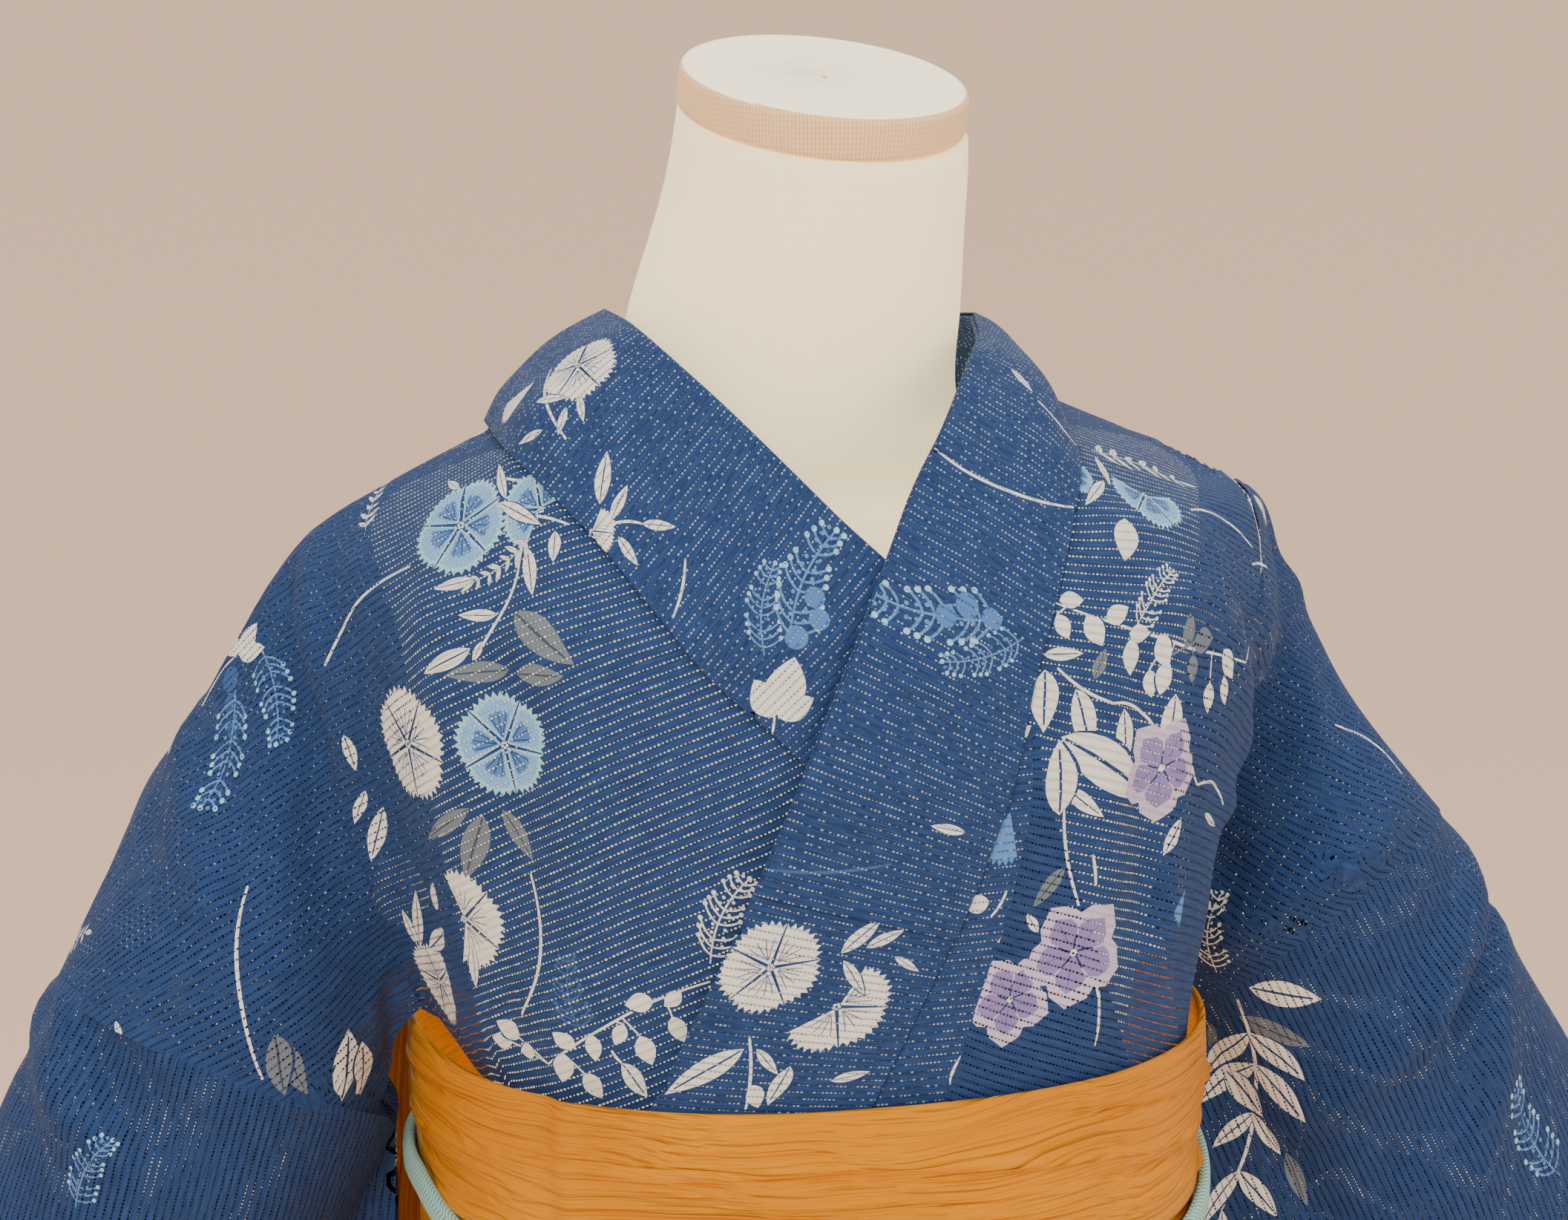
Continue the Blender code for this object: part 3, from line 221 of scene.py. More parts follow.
# Dress form: z, half width, half depth, middle y, and how square each level is
FORM = (
    (0.740, 0.120, 0.090, 0.004, 2.15), (0.760, 0.130, 0.099, 0.004, 2.15),
    (0.820, 0.133, 0.102, 0.002, 2.15), (0.880, 0.130, 0.098, 0.002, 2.15),
    (0.960, 0.118, 0.092, 0.000, 2.15), (1.040, 0.128, 0.100, 0.002, 2.15),
    (1.100, 0.140, 0.109, 0.002, 2.15), (1.150, 0.148, 0.103, 0.006, 2.15),
    (1.180, 0.153, 0.092, 0.012, 2.10), (1.205, 0.160, 0.078, 0.017, 2.00),
    (1.221, 0.162, 0.068, 0.021, 1.70), (1.2350, 0.147, 0.060, 0.027, 1.40),
    (1.247, 0.106, 0.058, 0.022, 1.70), (1.262, 0.066, 0.058, 0.018, 2.15),
    (1.300, 0.0615, 0.057, 0.010, 2.15), (1.340, 0.0555, 0.056, 0.002, 2.15),
    (1.370, 0.0530, 0.056, -0.003, 2.15),
)
NECK_LEAN = (-0.0045, 0.0055)  # the neck's middle, sideways, at its root and under the cap
CAP_NOD = math.radians(8.0)  # the cap dips forward
CAP_DIP = math.radians(4.0)  # and towards the wearer's left
CAP_CENTRE = (0.0055, -0.003, 1.3790)
CAP_THICK = 0.017


def blend_steps(x, y, at):
    """Monotone cubic through the points (x, y), read at each value of at."""
    x = np.asarray(x, float)
    y = np.asarray(y, float)
    at = np.asarray(at, float)
    step = np.diff(x)
    rise = np.diff(y) / step
    slope = np.zeros(len(x))
    for i in range(1, len(x) - 1):
        if rise[i - 1] * rise[i] > 0:
            near = 2 * step[i] + step[i - 1]
            far = step[i] + 2 * step[i - 1]
            slope[i] = (near + far) / (near / rise[i - 1] + far / rise[i])
    slope[0] = rise[0]
    slope[-1] = rise[-1]
    k = np.clip(np.searchsorted(x, at) - 1, 0, len(x) - 2)
    t = (at - x[k]) / step[k]
    keep = 2 * t**3 - 3 * t**2 + 1
    leave = t**3 - 2 * t**2 + t
    reach = 3 * t**2 - 2 * t**3
    arrive = t**3 - t**2
    return keep * y[k] + leave * step[k] * slope[k] + reach * y[k + 1] + arrive * step[k] * slope[k + 1]


def through(shares, points, at):
    """Smooth curve through 3-D points given at shares, read at each value of at."""
    points = np.asarray(points, float)
    return np.stack([blend_steps(shares, points[:, axis], at) for axis in range(3)], -1)


def smooth(x, low, high):
    """0 below low, 1 above high, eased between."""
    t = np.clip((np.asarray(x, float) - low) / (high - low), 0, 1)
    return t * t * (3 - 2 * t)


def unit(vectors):
    return vectors / np.linalg.norm(vectors, axis=-1)[..., None]


def grid_normal(grid):
    return unit(np.cross(np.gradient(grid, axis=0), np.gradient(grid, axis=1)))


def size_at(levels, z):
    """Half width and half depth at z, from levels in rising order."""
    heights, wide, deep = zip(*levels)
    return np.interp(z, heights, wide), np.interp(z, heights, deep)


def trunk_depth(x, z):
    """How far the clothed trunk stands out in front at x and z."""
    wide, deep = size_at(TRUNK, z)
    left = np.clip(1 - np.abs(np.asarray(x) / wide) ** TRUNK_POWER, 0.02, 1)
    return deep * left ** (1 / TRUNK_POWER)


def placed(station, side):
    """A station as x, y, z, with its depth read from the trunk where it lies on it."""
    x, y, z = station
    return (x, -float(trunk_depth(x, z)) - lift(side) if y is ON_TRUNK else y, z)


def crest(side, share):
    """Point on the crest of the shoulder and wing."""
    rows = np.array(CREST[side])
    return through(rows[:, 0], rows[:, 1:], np.atleast_1d(share))


def sleeve_ring(side, angle, front):
    """Point on the sleeve seam: angle 0 at its top, pi at the underarm."""
    top = crest(side, 1.0)[0]
    low = np.array(UNDERARM[side])
    out = top - low
    out[2] = 0
    out /= np.linalg.norm(out)
    ahead = np.array([out[1], -out[0], 0.0]) * (1 if side == "left" else -1)
    middle = (top + low) / 2
    spread = RING_DEPTH[side] * np.sin(angle) * (1 if front else -1)
    ring = middle + np.multiply.outer(np.cos(angle), (top - low) / 2) + np.multiply.outer(spread, ahead)
    ring[..., 2] += RING_RISE[side] * np.sin(angle) * (1 if front else 0)
    return ring


def seam_stations(side):
    return [placed(row, side) for row in COLLAR_SEAM[side]]


def collar_seam(side, down):
    return through(DOWN, seam_stations(side), down)


def okumi_width(side, down):
    """Width of the okumi, the wedge beside the collar, at each share of the way down."""
    start = KENSAKI[side]
    share = np.clip((np.asarray(down) - start) / (1 - start), 0, 1)
    return np.where(share > 0, GAP * 5 + OKUMI_AT_OBI * share**0.75, 0.0)


def outward(side):
    return -1.0 if side == "right" else 1.0


def lift(side):
    return OVER_LIFT if side == "left" else 0.0


def lay_on_trunk(points, side, weight):
    """Moves points onto the trunk's front, at their side's layer, by weight."""
    points = points.copy()
    eased = smooth(points[..., 2], 1.262, 1.225)
    target = -(trunk_depth(points[..., 0], points[..., 2]) + lift(side) * eased)
    points[..., 1] += weight * (target - points[..., 1])
    return points


def front_grid(side, down, across):
    """The front panel: rows run down from the crest, columns from the collar to the sleeve."""
    seam = collar_seam(side, down)
    seam[:, 0] += outward(side) * okumi_width(side, down)
    lines = [seam]
    shares = [0.0]
    for share, crest_share, *spots in FRONT_LINES[side]:
        stations = [crest(side, crest_share)[0], *(placed(spot, side) for spot in spots)]
        lines.append(through(DOWN, stations, down))
        shares.append(share)
    lines.append(sleeve_ring(side, np.pi * RING_CLOSE * np.asarray(down), True))
    shares.append(1.0)
    lines = np.array(lines)
    grid = np.stack([through(shares, lines[:, i], across) for i in range(len(down))])
    grid[0] = crest(side, across)
    grid[0, 0] = seam[0]
    weight = np.outer(smooth(down, 0.16, 0.36), 1 - smooth(across, 0.12, 0.30))
    grid = lay_on_trunk(grid, side, weight)
    return set_back(grid, GAP / 2 + (NECK_GAP - GAP / 2) * (1 - smooth(down, 0.20, 0.53)))


def set_back(grid, gaps):
    """Draws the first column of a panel back from its seam, by a gap per row."""
    grid[:, 0] += unit(grid[:, 1] - grid[:, 0]) * np.asarray(gaps)[:, None]
    return grid


def back_line_zero(side, down):
    """Inner edge of the back: along the neck seam to the nape, then down the centre seam."""
    first = seam_stations(side)[0]
    stations = [first, NECK_BACK[side], NAPE_SEAM, *CENTRE_BACK]
    return through(DOWN, stations, down)


def back_grid(side, down, across):
    """The back panel, from the crest down."""
    sign = outward(side)
    lines = [back_line_zero(side, down)]
    shares = [0.0]
    for share, crest_share, *spots in BACK_LINES:
        stations = [crest(side, crest_share)[0]]
        near_ring = float(smooth(share, 0.40, 0.74))
        slim = 1 + near_ring * (RING_DEPTH[side] / RING_DEPTH["right"] - 1)
        for (x, y, z), fallen in zip(spots, DOWN[1:]):
            y = RING_MIDDLE + (y - RING_MIDDLE) * slim
            stations.append((sign * x, y, z + BACK_RISE[side] * near_ring * fallen))
        lines.append(through(DOWN, stations, down))
        shares.append(share)
    lines.append(sleeve_ring(side, np.pi * RING_CLOSE * np.asarray(down), False))
    shares.append(1.0)
    lines = np.array(lines)
    grid = np.stack([through(shares, lines[:, i], across) for i in range(len(down))])
    grid[0] = crest(side, across)
    grid[0, 0] = lines[0, 0]
    return set_back(grid, GAP / 2 + (NECK_GAP - GAP / 2) * (np.asarray(down) < DOWN[2] + 0.001))


def shares_down(rows):
    return np.linspace(0, 1, rows + 1)


def back_shares():
    """Rows of the back: an even few along the neck seam, an even few below the nape."""
    neck = np.linspace(0, DOWN[2], NECK_ROWS + 1)
    return np.concatenate([neck, np.linspace(DOWN[2], 1, BACK_ROWS - NECK_ROWS + 1)[1:]])


def body_grid(side):
    """One body panel: up the front, over the crest and down the back, in one length."""
    across = np.linspace(0, 1, BODY_COLUMNS + 1)
    front = front_grid(side, shares_down(FRONT_ROWS), across)
    back = back_grid(side, back_shares(), across)
    return np.concatenate([front[::-1], back[1:]])


def collar_rails(side):
    """Seam and free edge of one half of the collar, from the obi round to the nape."""
    down = shares_down(FRONT_ROWS)
    seam = collar_seam(side, down)
    edge = through(DOWN, [placed(row, side) for row in COLLAR_EDGE[side]], down)
    behind = back_shares()[1 : NECK_ROWS + 1]
    seam_back = back_line_zero(side, behind)
    edge_back = through(DOWN[:3], [COLLAR_EDGE[side][0], EDGE_BACK[side], NAPE_EDGE], behind)
    weight = smooth(down, 0.16, 0.36)
    seam = lay_on_trunk(seam, side, weight)
    edge = lay_on_trunk(edge, side, smooth(down, 0.36, 0.53))
    return np.concatenate([seam[::-1], seam_back]), np.concatenate([edge[::-1], edge_back]), weight


def collar_strip():
    """The whole collar from its right end round the nape to its left end: a column per share."""
    shares = np.linspace(0, 1, COLLAR_COLUMNS + 1)
    halves = []
    for side in ("right", "left"):
        seam, edge, weight = collar_rails(side)
        near_chest = smooth(shares_down(FRONT_ROWS), 0.20, 0.53)
        across = edge - seam
        length = np.linalg.norm(across, axis=1)[:, None]
        near_neck = np.concatenate([1 - near_chest[::-1], np.ones(NECK_ROWS)])
        room = GAP / 2 + (NECK_GAP - GAP / 2) * near_neck
        start = seam + across / length * room[:, None]
        strip = np.stack([start + (edge - start) * share for share in shares], 1)
        along = np.gradient(strip[:, 0], axis=0)
        normal = unit(np.cross(along, across))
        normal *= np.sign(normal[0] @ np.array([0, -1, 0]))
        crown = 0.006 * np.sin(np.pi * shares)
        round_neck = np.concatenate([1 - weight[::-1], np.ones(NECK_ROWS)])
        strip += normal[:, None, :] * (crown[None, :] * round_neck[:, None])[..., None]
        on = np.concatenate([smooth(shares_down(FRONT_ROWS), 0.36, 0.53)[::-1], np.zeros(NECK_ROWS)])
        strip = lay_on_trunk(strip, side, np.repeat(on[:, None], len(shares), 1))
        halves.append(strip)
    right, left = halves
    nape = (right[-1:] + left[-1:]) / 2
    return np.concatenate([right[:-1], nape, left[:-1][::-1]])


def okumi_grid(side):
    """The okumi above the obi: between the collar seam and the front panel."""
    down = shares_down(OKUMI_ROWS)
    down = down[okumi_width(side, down) > 0]
    seam = collar_seam(side, down)
    near = seam.copy()
    near[:, 0] += outward(side) * GAP
    far = seam.copy()
    far[:, 0] += outward(side) * (okumi_width(side, down) - GAP / 2)
    grid = np.stack([near + (far - near) * k / OKUMI_COLUMNS for k in range(OKUMI_COLUMNS + 1)], 1)
    return lay_on_trunk(grid, side, np.ones(grid.shape[:2]))


def sleeve_plane(side):
    """Top of the sleeve seam, and the outward and forward directions of the sleeve's plane."""
    top = crest(side, 1.0)[0]
    low = np.array(UNDERARM[side])
    out = top - low
    drop = out[2]
    out[2] = 0
    reach = np.linalg.norm(out)
    out /= reach
    ahead = np.array([out[1], -out[0], 0.0]) * (1 if side == "left" else -1)
    return top, out, ahead, reach, drop


def sleeve_point(side, width, drop, front):
    """Point of the sleeve at a distance along it and down from its folded top."""
    top, out, ahead, reach, fall = sleeve_plane(side)
    under = np.array([-reach, -fall])
    end, inner, outer = map(np.array, SLEEVE_CORNERS[side])
    along = width / SLEEVE_WIDTH
    turn = min(drop / ARMHOLE, 1.0)
    round_share = (1 - math.cos(math.pi * turn)) / 2
    flat_share = drop / SLEEVE_DROP
    below = max(0.0, (drop - ARMHOLE) / (SLEEVE_DROP - ARMHOLE))
    at_seam = under * round_share + (inner - under) * below
    at_cuff = end + (outer - end) * flat_share
    top_line = end * along
    low_line = inner + (outer - inner) * along
    plain = top_line + (low_line - top_line) * flat_share
    seam_share = (1 - along) ** 1.6
    seam_plain = inner * flat_share
    spot = plain + (at_seam - seam_plain) * seam_share
    bow = 0.010 * math.sin(math.pi * along) * (1 - flat_share)
    spot = spot + np.array([bow, 0.0])
    round_depth = RING_DEPTH[side] * math.sin(math.pi * turn)
    lobe = min(drop / (ARMHOLE + 0.16 * math.sin(math.pi * along)), 1.0)
    bag_depth = (0.050 - 0.036 * along) * math.sin(math.pi * lobe) ** 0.8 if lobe < 1 else 0.0
    sewn = seam_share * (1 - float(smooth(drop, RING_CLOSE * ARMHOLE, RING_CLOSE * ARMHOLE + 0.04)))
    closed = smooth(drop, SLEEVE_DROP - 0.03, SLEEVE_DROP + 0.01)
    tail = (0.0050 * (1 - along) + 0.0022 + 0.010 * math.sin(math.pi * along)) * (1 - float(closed))
    tail *= float(smooth(drop, 0.0, 0.15)) * (1 - sewn)
    depth = round_depth * seam_share + bag_depth * (1 - seam_share)
    depth = depth + tail * float(smooth(drop, 0.1, 0.24)) if drop < SLEEVE_DROP else 0.0
    lean = SLEEVE_LEAN * (drop / SLEEVE_DROP) ** 1.5 * (0.6 + 0.4 * along)
    lean = lean * (1 - sewn) + 0.012 * along
    side_way = (depth if front else -depth) - lean
    rise = RING_RISE[side] * math.sin(math.pi * turn) * seam_share if front else 0.0
    return top + out * spot[0] + ahead * side_way + np.array([0, 0, spot[1] + rise])


def arm_direction(side):
    top, out, ahead, reach, fall = sleeve_plane(side)
    end = np.array(SLEEVE_CORNERS[side][0])
    end = end / np.linalg.norm(end)
    return out * end[0] + np.array([0, 0, end[1]])


def ellipse(wide, deep, angle, power=2.0):
    """Point of a squared-off ellipse: angle 0 in front, growing towards +X."""
    s = np.sin(angle)
    c = np.cos(angle)
    size = (np.abs(s) ** power + np.abs(c) ** power) ** (-1 / power)
    return wide * s * size, -deep * c * size


def skirt_waves(angle, z):
    """Soft upright folds of the skirt, deeper towards the hem."""
    depth = 0.0038 * smooth(z, 0.82, 0.15) + 0.0006
    return depth * (np.cos(7 * angle + 0.6) + 0.5 * np.cos(11 * angle + 1.9))


def skirt_point(angle, z, over, clear=0.0):
    """Point on the skirt, or that far out from it."""
    wide, deep = size_at(SKIRT, z)
    out = skirt_waves(angle, z) + clear
    if over:
        out += SKIRT_OVER * (1 - smooth(np.degrees(angle), 62, 88)) * smooth(np.degrees(angle), -96, -90)
    x, y = ellipse(wide + out, deep + out, angle, 2.2)
    return (x, y, z)


def obi_size(z):
    return size_at(OBI, z)


def obi_point(angle, z, out=0.0):
    """Point on the obi's outer face."""
    wide, deep = obi_size(z)
    x, y = ellipse(wide + out, deep + out, angle, OBI_POWER)
    return (x, y, z)


def cord_height(angle):
    """The cord dips in front and rides up at the sides and back."""
    return CORD_SIDE_Z + (CORD_FRONT_Z - CORD_SIDE_Z) * max(0.0, math.cos(angle)) ** 1.3


def over_collar(strip):
    """The second strip that lies on the collar's outer face."""
    normal = grid_normal(strip)
    if normal[0, 0] @ np.array([0, -1.0, 0]) < 0:
        normal = -normal
    inset = strip.copy()
    behind = smooth(strip[:, 0, 1], -0.04, 0.05)[:, None]
    inset[:, 0] += (strip[:, 1] - strip[:, 0]) * (0.03 + 0.24 * behind)
    return inset + normal * (CUT_LIFT + 0.0006 * behind)[..., None]


# The photograph's camera, in metres, and its frame
CAMERA_AT = (-0.51764, -1.93185, 1.66)
CAMERA_AIM = (0.0, 0.0, 1.184)
CAMERA_LENS = 125.0
CAMERA_SENSOR = 36.0
CAMERA_SHIFT = -0.014
PHOTO_WIDTH = 2000.0  # the photo's places below are read on a copy this wide
PHOTO_HEIGHT = 1556.0


def photo_axes():
    at = np.array(CAMERA_AT)
    ahead = np.array(CAMERA_AIM) - at
    ahead /= np.linalg.norm(ahead)
    right = np.cross(ahead, (0, 0, 1))
    right /= np.linalg.norm(right)
    return at, ahead, right, np.cross(right, ahead)


def on_photo(points):
    """Where points fall on the photo, and how far off they are."""
    at, ahead, right, up = photo_axes()
    offset = np.asarray(points) - at
    far = offset @ ahead
    reach = PHOTO_WIDTH * CAMERA_LENS / CAMERA_SENSOR
    x = PHOTO_WIDTH * (0.5 - CAMERA_SHIFT) + reach * (offset @ right) / far
    y = PHOTO_HEIGHT / 2 - reach * (offset @ up) / far
    return np.stack([x, y], -1), far


# Print: every motif is a list of (outline, tint) in metres round its own middle, y up


def turned(points, turn, x=0.0, y=0.0):
    c, s = math.cos(turn), math.sin(turn)
    return [(x + px * c - py * s, y + px * s + py * c) for px, py in points]


def lens(length, width, bend=0.0, steps=9):
    """A leaf's outline from its foot at the middle, pointing up."""
    left, right = [], []
    for i in range(steps + 1):
        t = i / steps
        half = width / 2 * math.sin(math.pi * t**0.85) ** 0.9 if 0 < t < 1 else 0.0
        x = bend * length * math.sin(math.pi * t / 2) ** 2
        left.append((x - half, length * t))
        right.append((x + half, length * t))
    return right + left[-2:0:-1]


def strip(line, width):
    """A thin tapering stem along a line of points."""
    left, right = [], []
    count = len(line)
    for i, (x, y) in enumerate(line):
        ax, ay = line[max(i - 1, 0)]
        bx, by = line[min(i + 1, count - 1)]
        dx, dy = bx - ax, by - ay
        size = math.hypot(dx, dy) or 1.0
        half = width / 2 * (0.45 + 0.55 * math.sin(math.pi * (0.15 + 0.7 * i / (count - 1))))
        left.append((x - dy / size * half, y + dx / size * half))
        right.append((x + dy / size * half, y - dx / size * half))
    return right + left[::-1]


def arc(start, end, bend, steps=10):
    """A curved line between two points, bowed sideways by a share of its length."""
    dx, dy = end[0] - start[0], end[1] - start[1]
    line = []
    for i in range(steps + 1):
        t = i / steps
        side = bend * 4 * t * (1 - t)
        line.append((start[0] + dx * t - dy * side, start[1] + dy * t + dx * side))
    return line


def dot(x, y, radius, steps=8):
    return [(x + radius * math.cos(math.tau * k / steps), y + radius * math.sin(math.tau * k / steps))
            for k in range(steps)]


def petal(radius, inner, spread, teeth, depth):
    """One fan-shaped petal with a serrated edge, pointing up."""
    points = [(-inner * 0.35 * math.sin(spread), inner), (inner * 0.35 * math.sin(spread), inner)]
    for k in range(teeth * 2 + 1):
        angle = spread * (1 - k / teeth)
        edge = radius * (1 - (depth if k % 2 else 0.0)) * (1 - 0.08 * abs(1 - k / teeth) ** 2)
        points.append((edge * math.sin(angle), edge * math.cos(angle)))
    return points


def dianthus(size, tint, missing=(), petals=5):
    """A pink seen from in front: fringed petals, veins and a small eye."""
    rim = {"white": "white", "blue": "fringe"}[tint]
    shapes = []
    for k in range(petals):
        if k in missing:
            continue
        turn = math.tau * k / petals
        spread = math.pi / petals
        shapes.append((turned(petal(size, size * 0.08, spread * 0.98, 8, 0.11), turn), rim))
        if tint == "blue":
            shapes.append((turned(petal(size * 0.87, size * 0.12, spread * 0.86, 8, 0.05), turn), "sky"))
            shapes.append((turned(petal(size * 0.66, size * 0.14, spread * 0.62, 5, 0.10), turn), "azure"))
        veins = (-0.42, -0.14, 0.14, 0.42) if tint == "white" else (-0.3, 0.0, 0.3)
        for vein in veins:
            tip = (math.sin(vein) * size * 0.62, math.cos(vein) * size * 0.62)
            line = arc((0, size * 0.16), tip, 0.02, 4)
            shapes.append((turned(strip(line, size * 0.022), turn), "vein" if tint == "white" else "navy"))
    shapes.append((dot(0, 0, size * 0.085, 10), "navy"))
    for k in range(petals):
        x, y = turned([(0, size * 0.05)], math.tau * (k + 0.5) / petals)[0]
        shapes.append((dot(x, y, size * 0.030, 6), "white"))
    return shapes


def bellflower(size, tint="lilac"):
    shapes = []
    for k in range(5):
        turn = math.tau * k / 5
        half = [(0.30, 0.38), (0.44, 0.60), (0.36, 0.82), (0.14, 0.96), (0, 1.05)]
        outline = [(0, 0), *half, *[(-x, y) for x, y in half[-2::-1]]]
        outline = [(x * size, y * size) for x, y in outline]
        inner = [(x * 0.66, y * 0.74) for x, y in outline]
        shapes.append((turned(outline, turn), "lilac_pale"))
        shapes.append((turned(inner, turn), tint))
        shapes.append((turned(strip([(0, size * 0.22), (0, size * 0.60)], size * 0.022), turn), "lilac_deep"))
    for k in range(5):
        line = arc((0, 0), turned([(0, size * 0.34)], math.tau * (k + 0.5) / 5)[0], 0.05, 4)
        shapes.append((strip(line, size * 0.040), "navy"))
    shapes.append((dot(0, 0, size * 0.07, 8), "white"))
    return shapes


def leaf(length, width, tint="white", bend=0.08):
    rib = "navy" if tint == "white" else "grey_deep"
    shapes = [(lens(length * 1.05, width * 1.20, bend), "navy"), (lens(length, width, bend), tint)]
    line = [(bend * length * math.sin(math.pi * t / 2) ** 2, length * t) for t in (0.04, 0.3, 0.6, 0.88)]
    shapes.append((strip(line, width * 0.09), rib))
    return shapes


def moved(shapes, turn, x=0.0, y=0.0):
    return [(turned(outline, turn, x, y), tint) for outline, tint in shapes]


def spray(length, pairs, leaf_length, leaf_width, tint="white", bend=0.12, tip=True):
    """A stem with leaves to both sides and one at its tip."""
    line = arc((0, 0), (0, length), bend, 12)
    shapes = [(strip(line, leaf_width * 0.16), tint)]
    for k in range(pairs):
        t = (k + 0.55) / (pairs + 0.15)
        x, y = line[min(int(round(t * 12)), 12)]
        size = 1.0 - 0.35 * t + 0.12 * math.sin(2.4 * k)
        for side in (-1, 1):
            turn = side * (0.72 + 0.16 * math.sin(1.7 * k + side))
            shapes += moved(leaf(leaf_length * size, leaf_width * size, tint, 0.10 * -side), turn, x, y)
    if tip:
        shapes += moved(leaf(leaf_length * 0.9, leaf_width * 0.8, tint, 0.0), 0.1, *line[-1])
    return shapes


def berries(length, pairs, radius, tint="white", bend=0.10):
    """A twig with short stalks and an egg-shaped leaf on each."""
    line = arc((0, 0), (0, length), bend, 12)
    shapes = [(strip(line, radius * 0.26), tint)]
    for k in range(pairs * 2):
        t = (k + 0.8) / (pairs * 2 + 0.3)
        x, y = line[min(int(round(t * 12)), 12)]
        side = 1 if k % 2 else -1
        turn = side * (0.85 + 0.25 * math.sin(1.3 * k))
        stalk = radius * (0.8 + 0.3 * math.sin(2.1 * k))
        end = turned([(0, stalk)], turn, x, y)[0]
        shapes.append((strip([(x, y), end], radius * 0.22), tint))
        egg = lens(radius * 2.1, radius * 1.5, 0.0, 10)
        shapes.append((turned(egg, turn, *end), tint))
    shapes.append((turned(lens(radius * 2.1, radius * 1.5, 0.0, 10), 0.0, *line[-1]), tint))
    return shapes


def fern(length, pairs, reach, tint="sky_deep"):
    """A feathery sprig whose side shoots end in dots."""
    line = arc((0, 0), (0, length), 0.10, 12)
    bead = {"sky_deep": "fringe", "white": "white", "faint": "faint", "azure": "sky"}[tint]
    shapes = [(strip(line, length * 0.020), tint)]
    for k in range(pairs):
        t = (k + 0.6) / (pairs + 0.2)
        x, y = line[min(int(round(t * 12)), 12)]
        size = reach * (1 - 0.62 * t) * (0.75 + 0.25 * min(1.0, 3 * t))
        for side in (-1, 1):
            end = turned([(0, size)], side * 0.95, x, y)[0]
            shapes.append((strip(arc((x, y), end, 0.10 * side, 5), length * 0.022), tint))
            shapes.append((dot(end[0], end[1], length * 0.026, 7), bead))
            near = turned([(0, size * 0.52)], side * 0.55, x, y + size * 0.16)[0]
            shapes.append((dot(near[0], near[1], length * 0.019, 6), tint))
    shapes.append((dot(line[-1][0], line[-1][1], length * 0.028, 7), bead))
    return shapes


def motif(kind, size, tint):
    """The outlines of one kind of motif, from its foot or middle, size long or in radius."""
    if kind == "pink":
        return dianthus(size, tint)
    if kind == "half":
        return dianthus(size, tint, (2, 3))
    if kind == "bell":
        return bellflower(size)
    if kind == "leaf":
        return leaf(size, size * 0.31, tint, 0.04)
    if kind == "broad":
        return leaf(size, size * 0.43, tint, 0.07)
    if kind == "leaves":
        return moved(leaf(size, size * 0.34, tint), 0.45) + moved(leaf(size * 0.9, size * 0.32, tint), -0.55)
    if kind == "egg":
        return [(lens(size, size * 0.72), tint)]
    if kind == "petal":
        return [(petal(size, size * 0.1, 0.42, 7, 0.09), tint)]
    if kind == "spray":
        return spray(size, 4, size * 0.36, size * 0.115, tint)
    if kind == "fine":
        return spray(size, 6, size * 0.24, size * 0.075, tint, 0.06)
    if kind == "berries":
        return berries(size, 4, size * 0.088, tint)
    if kind == "fern":
        return fern(size, 9, size * 0.30, tint)
    if kind == "blob":
        return [(dot(0, 0, size, 12), tint)]
    raise ValueError(kind)


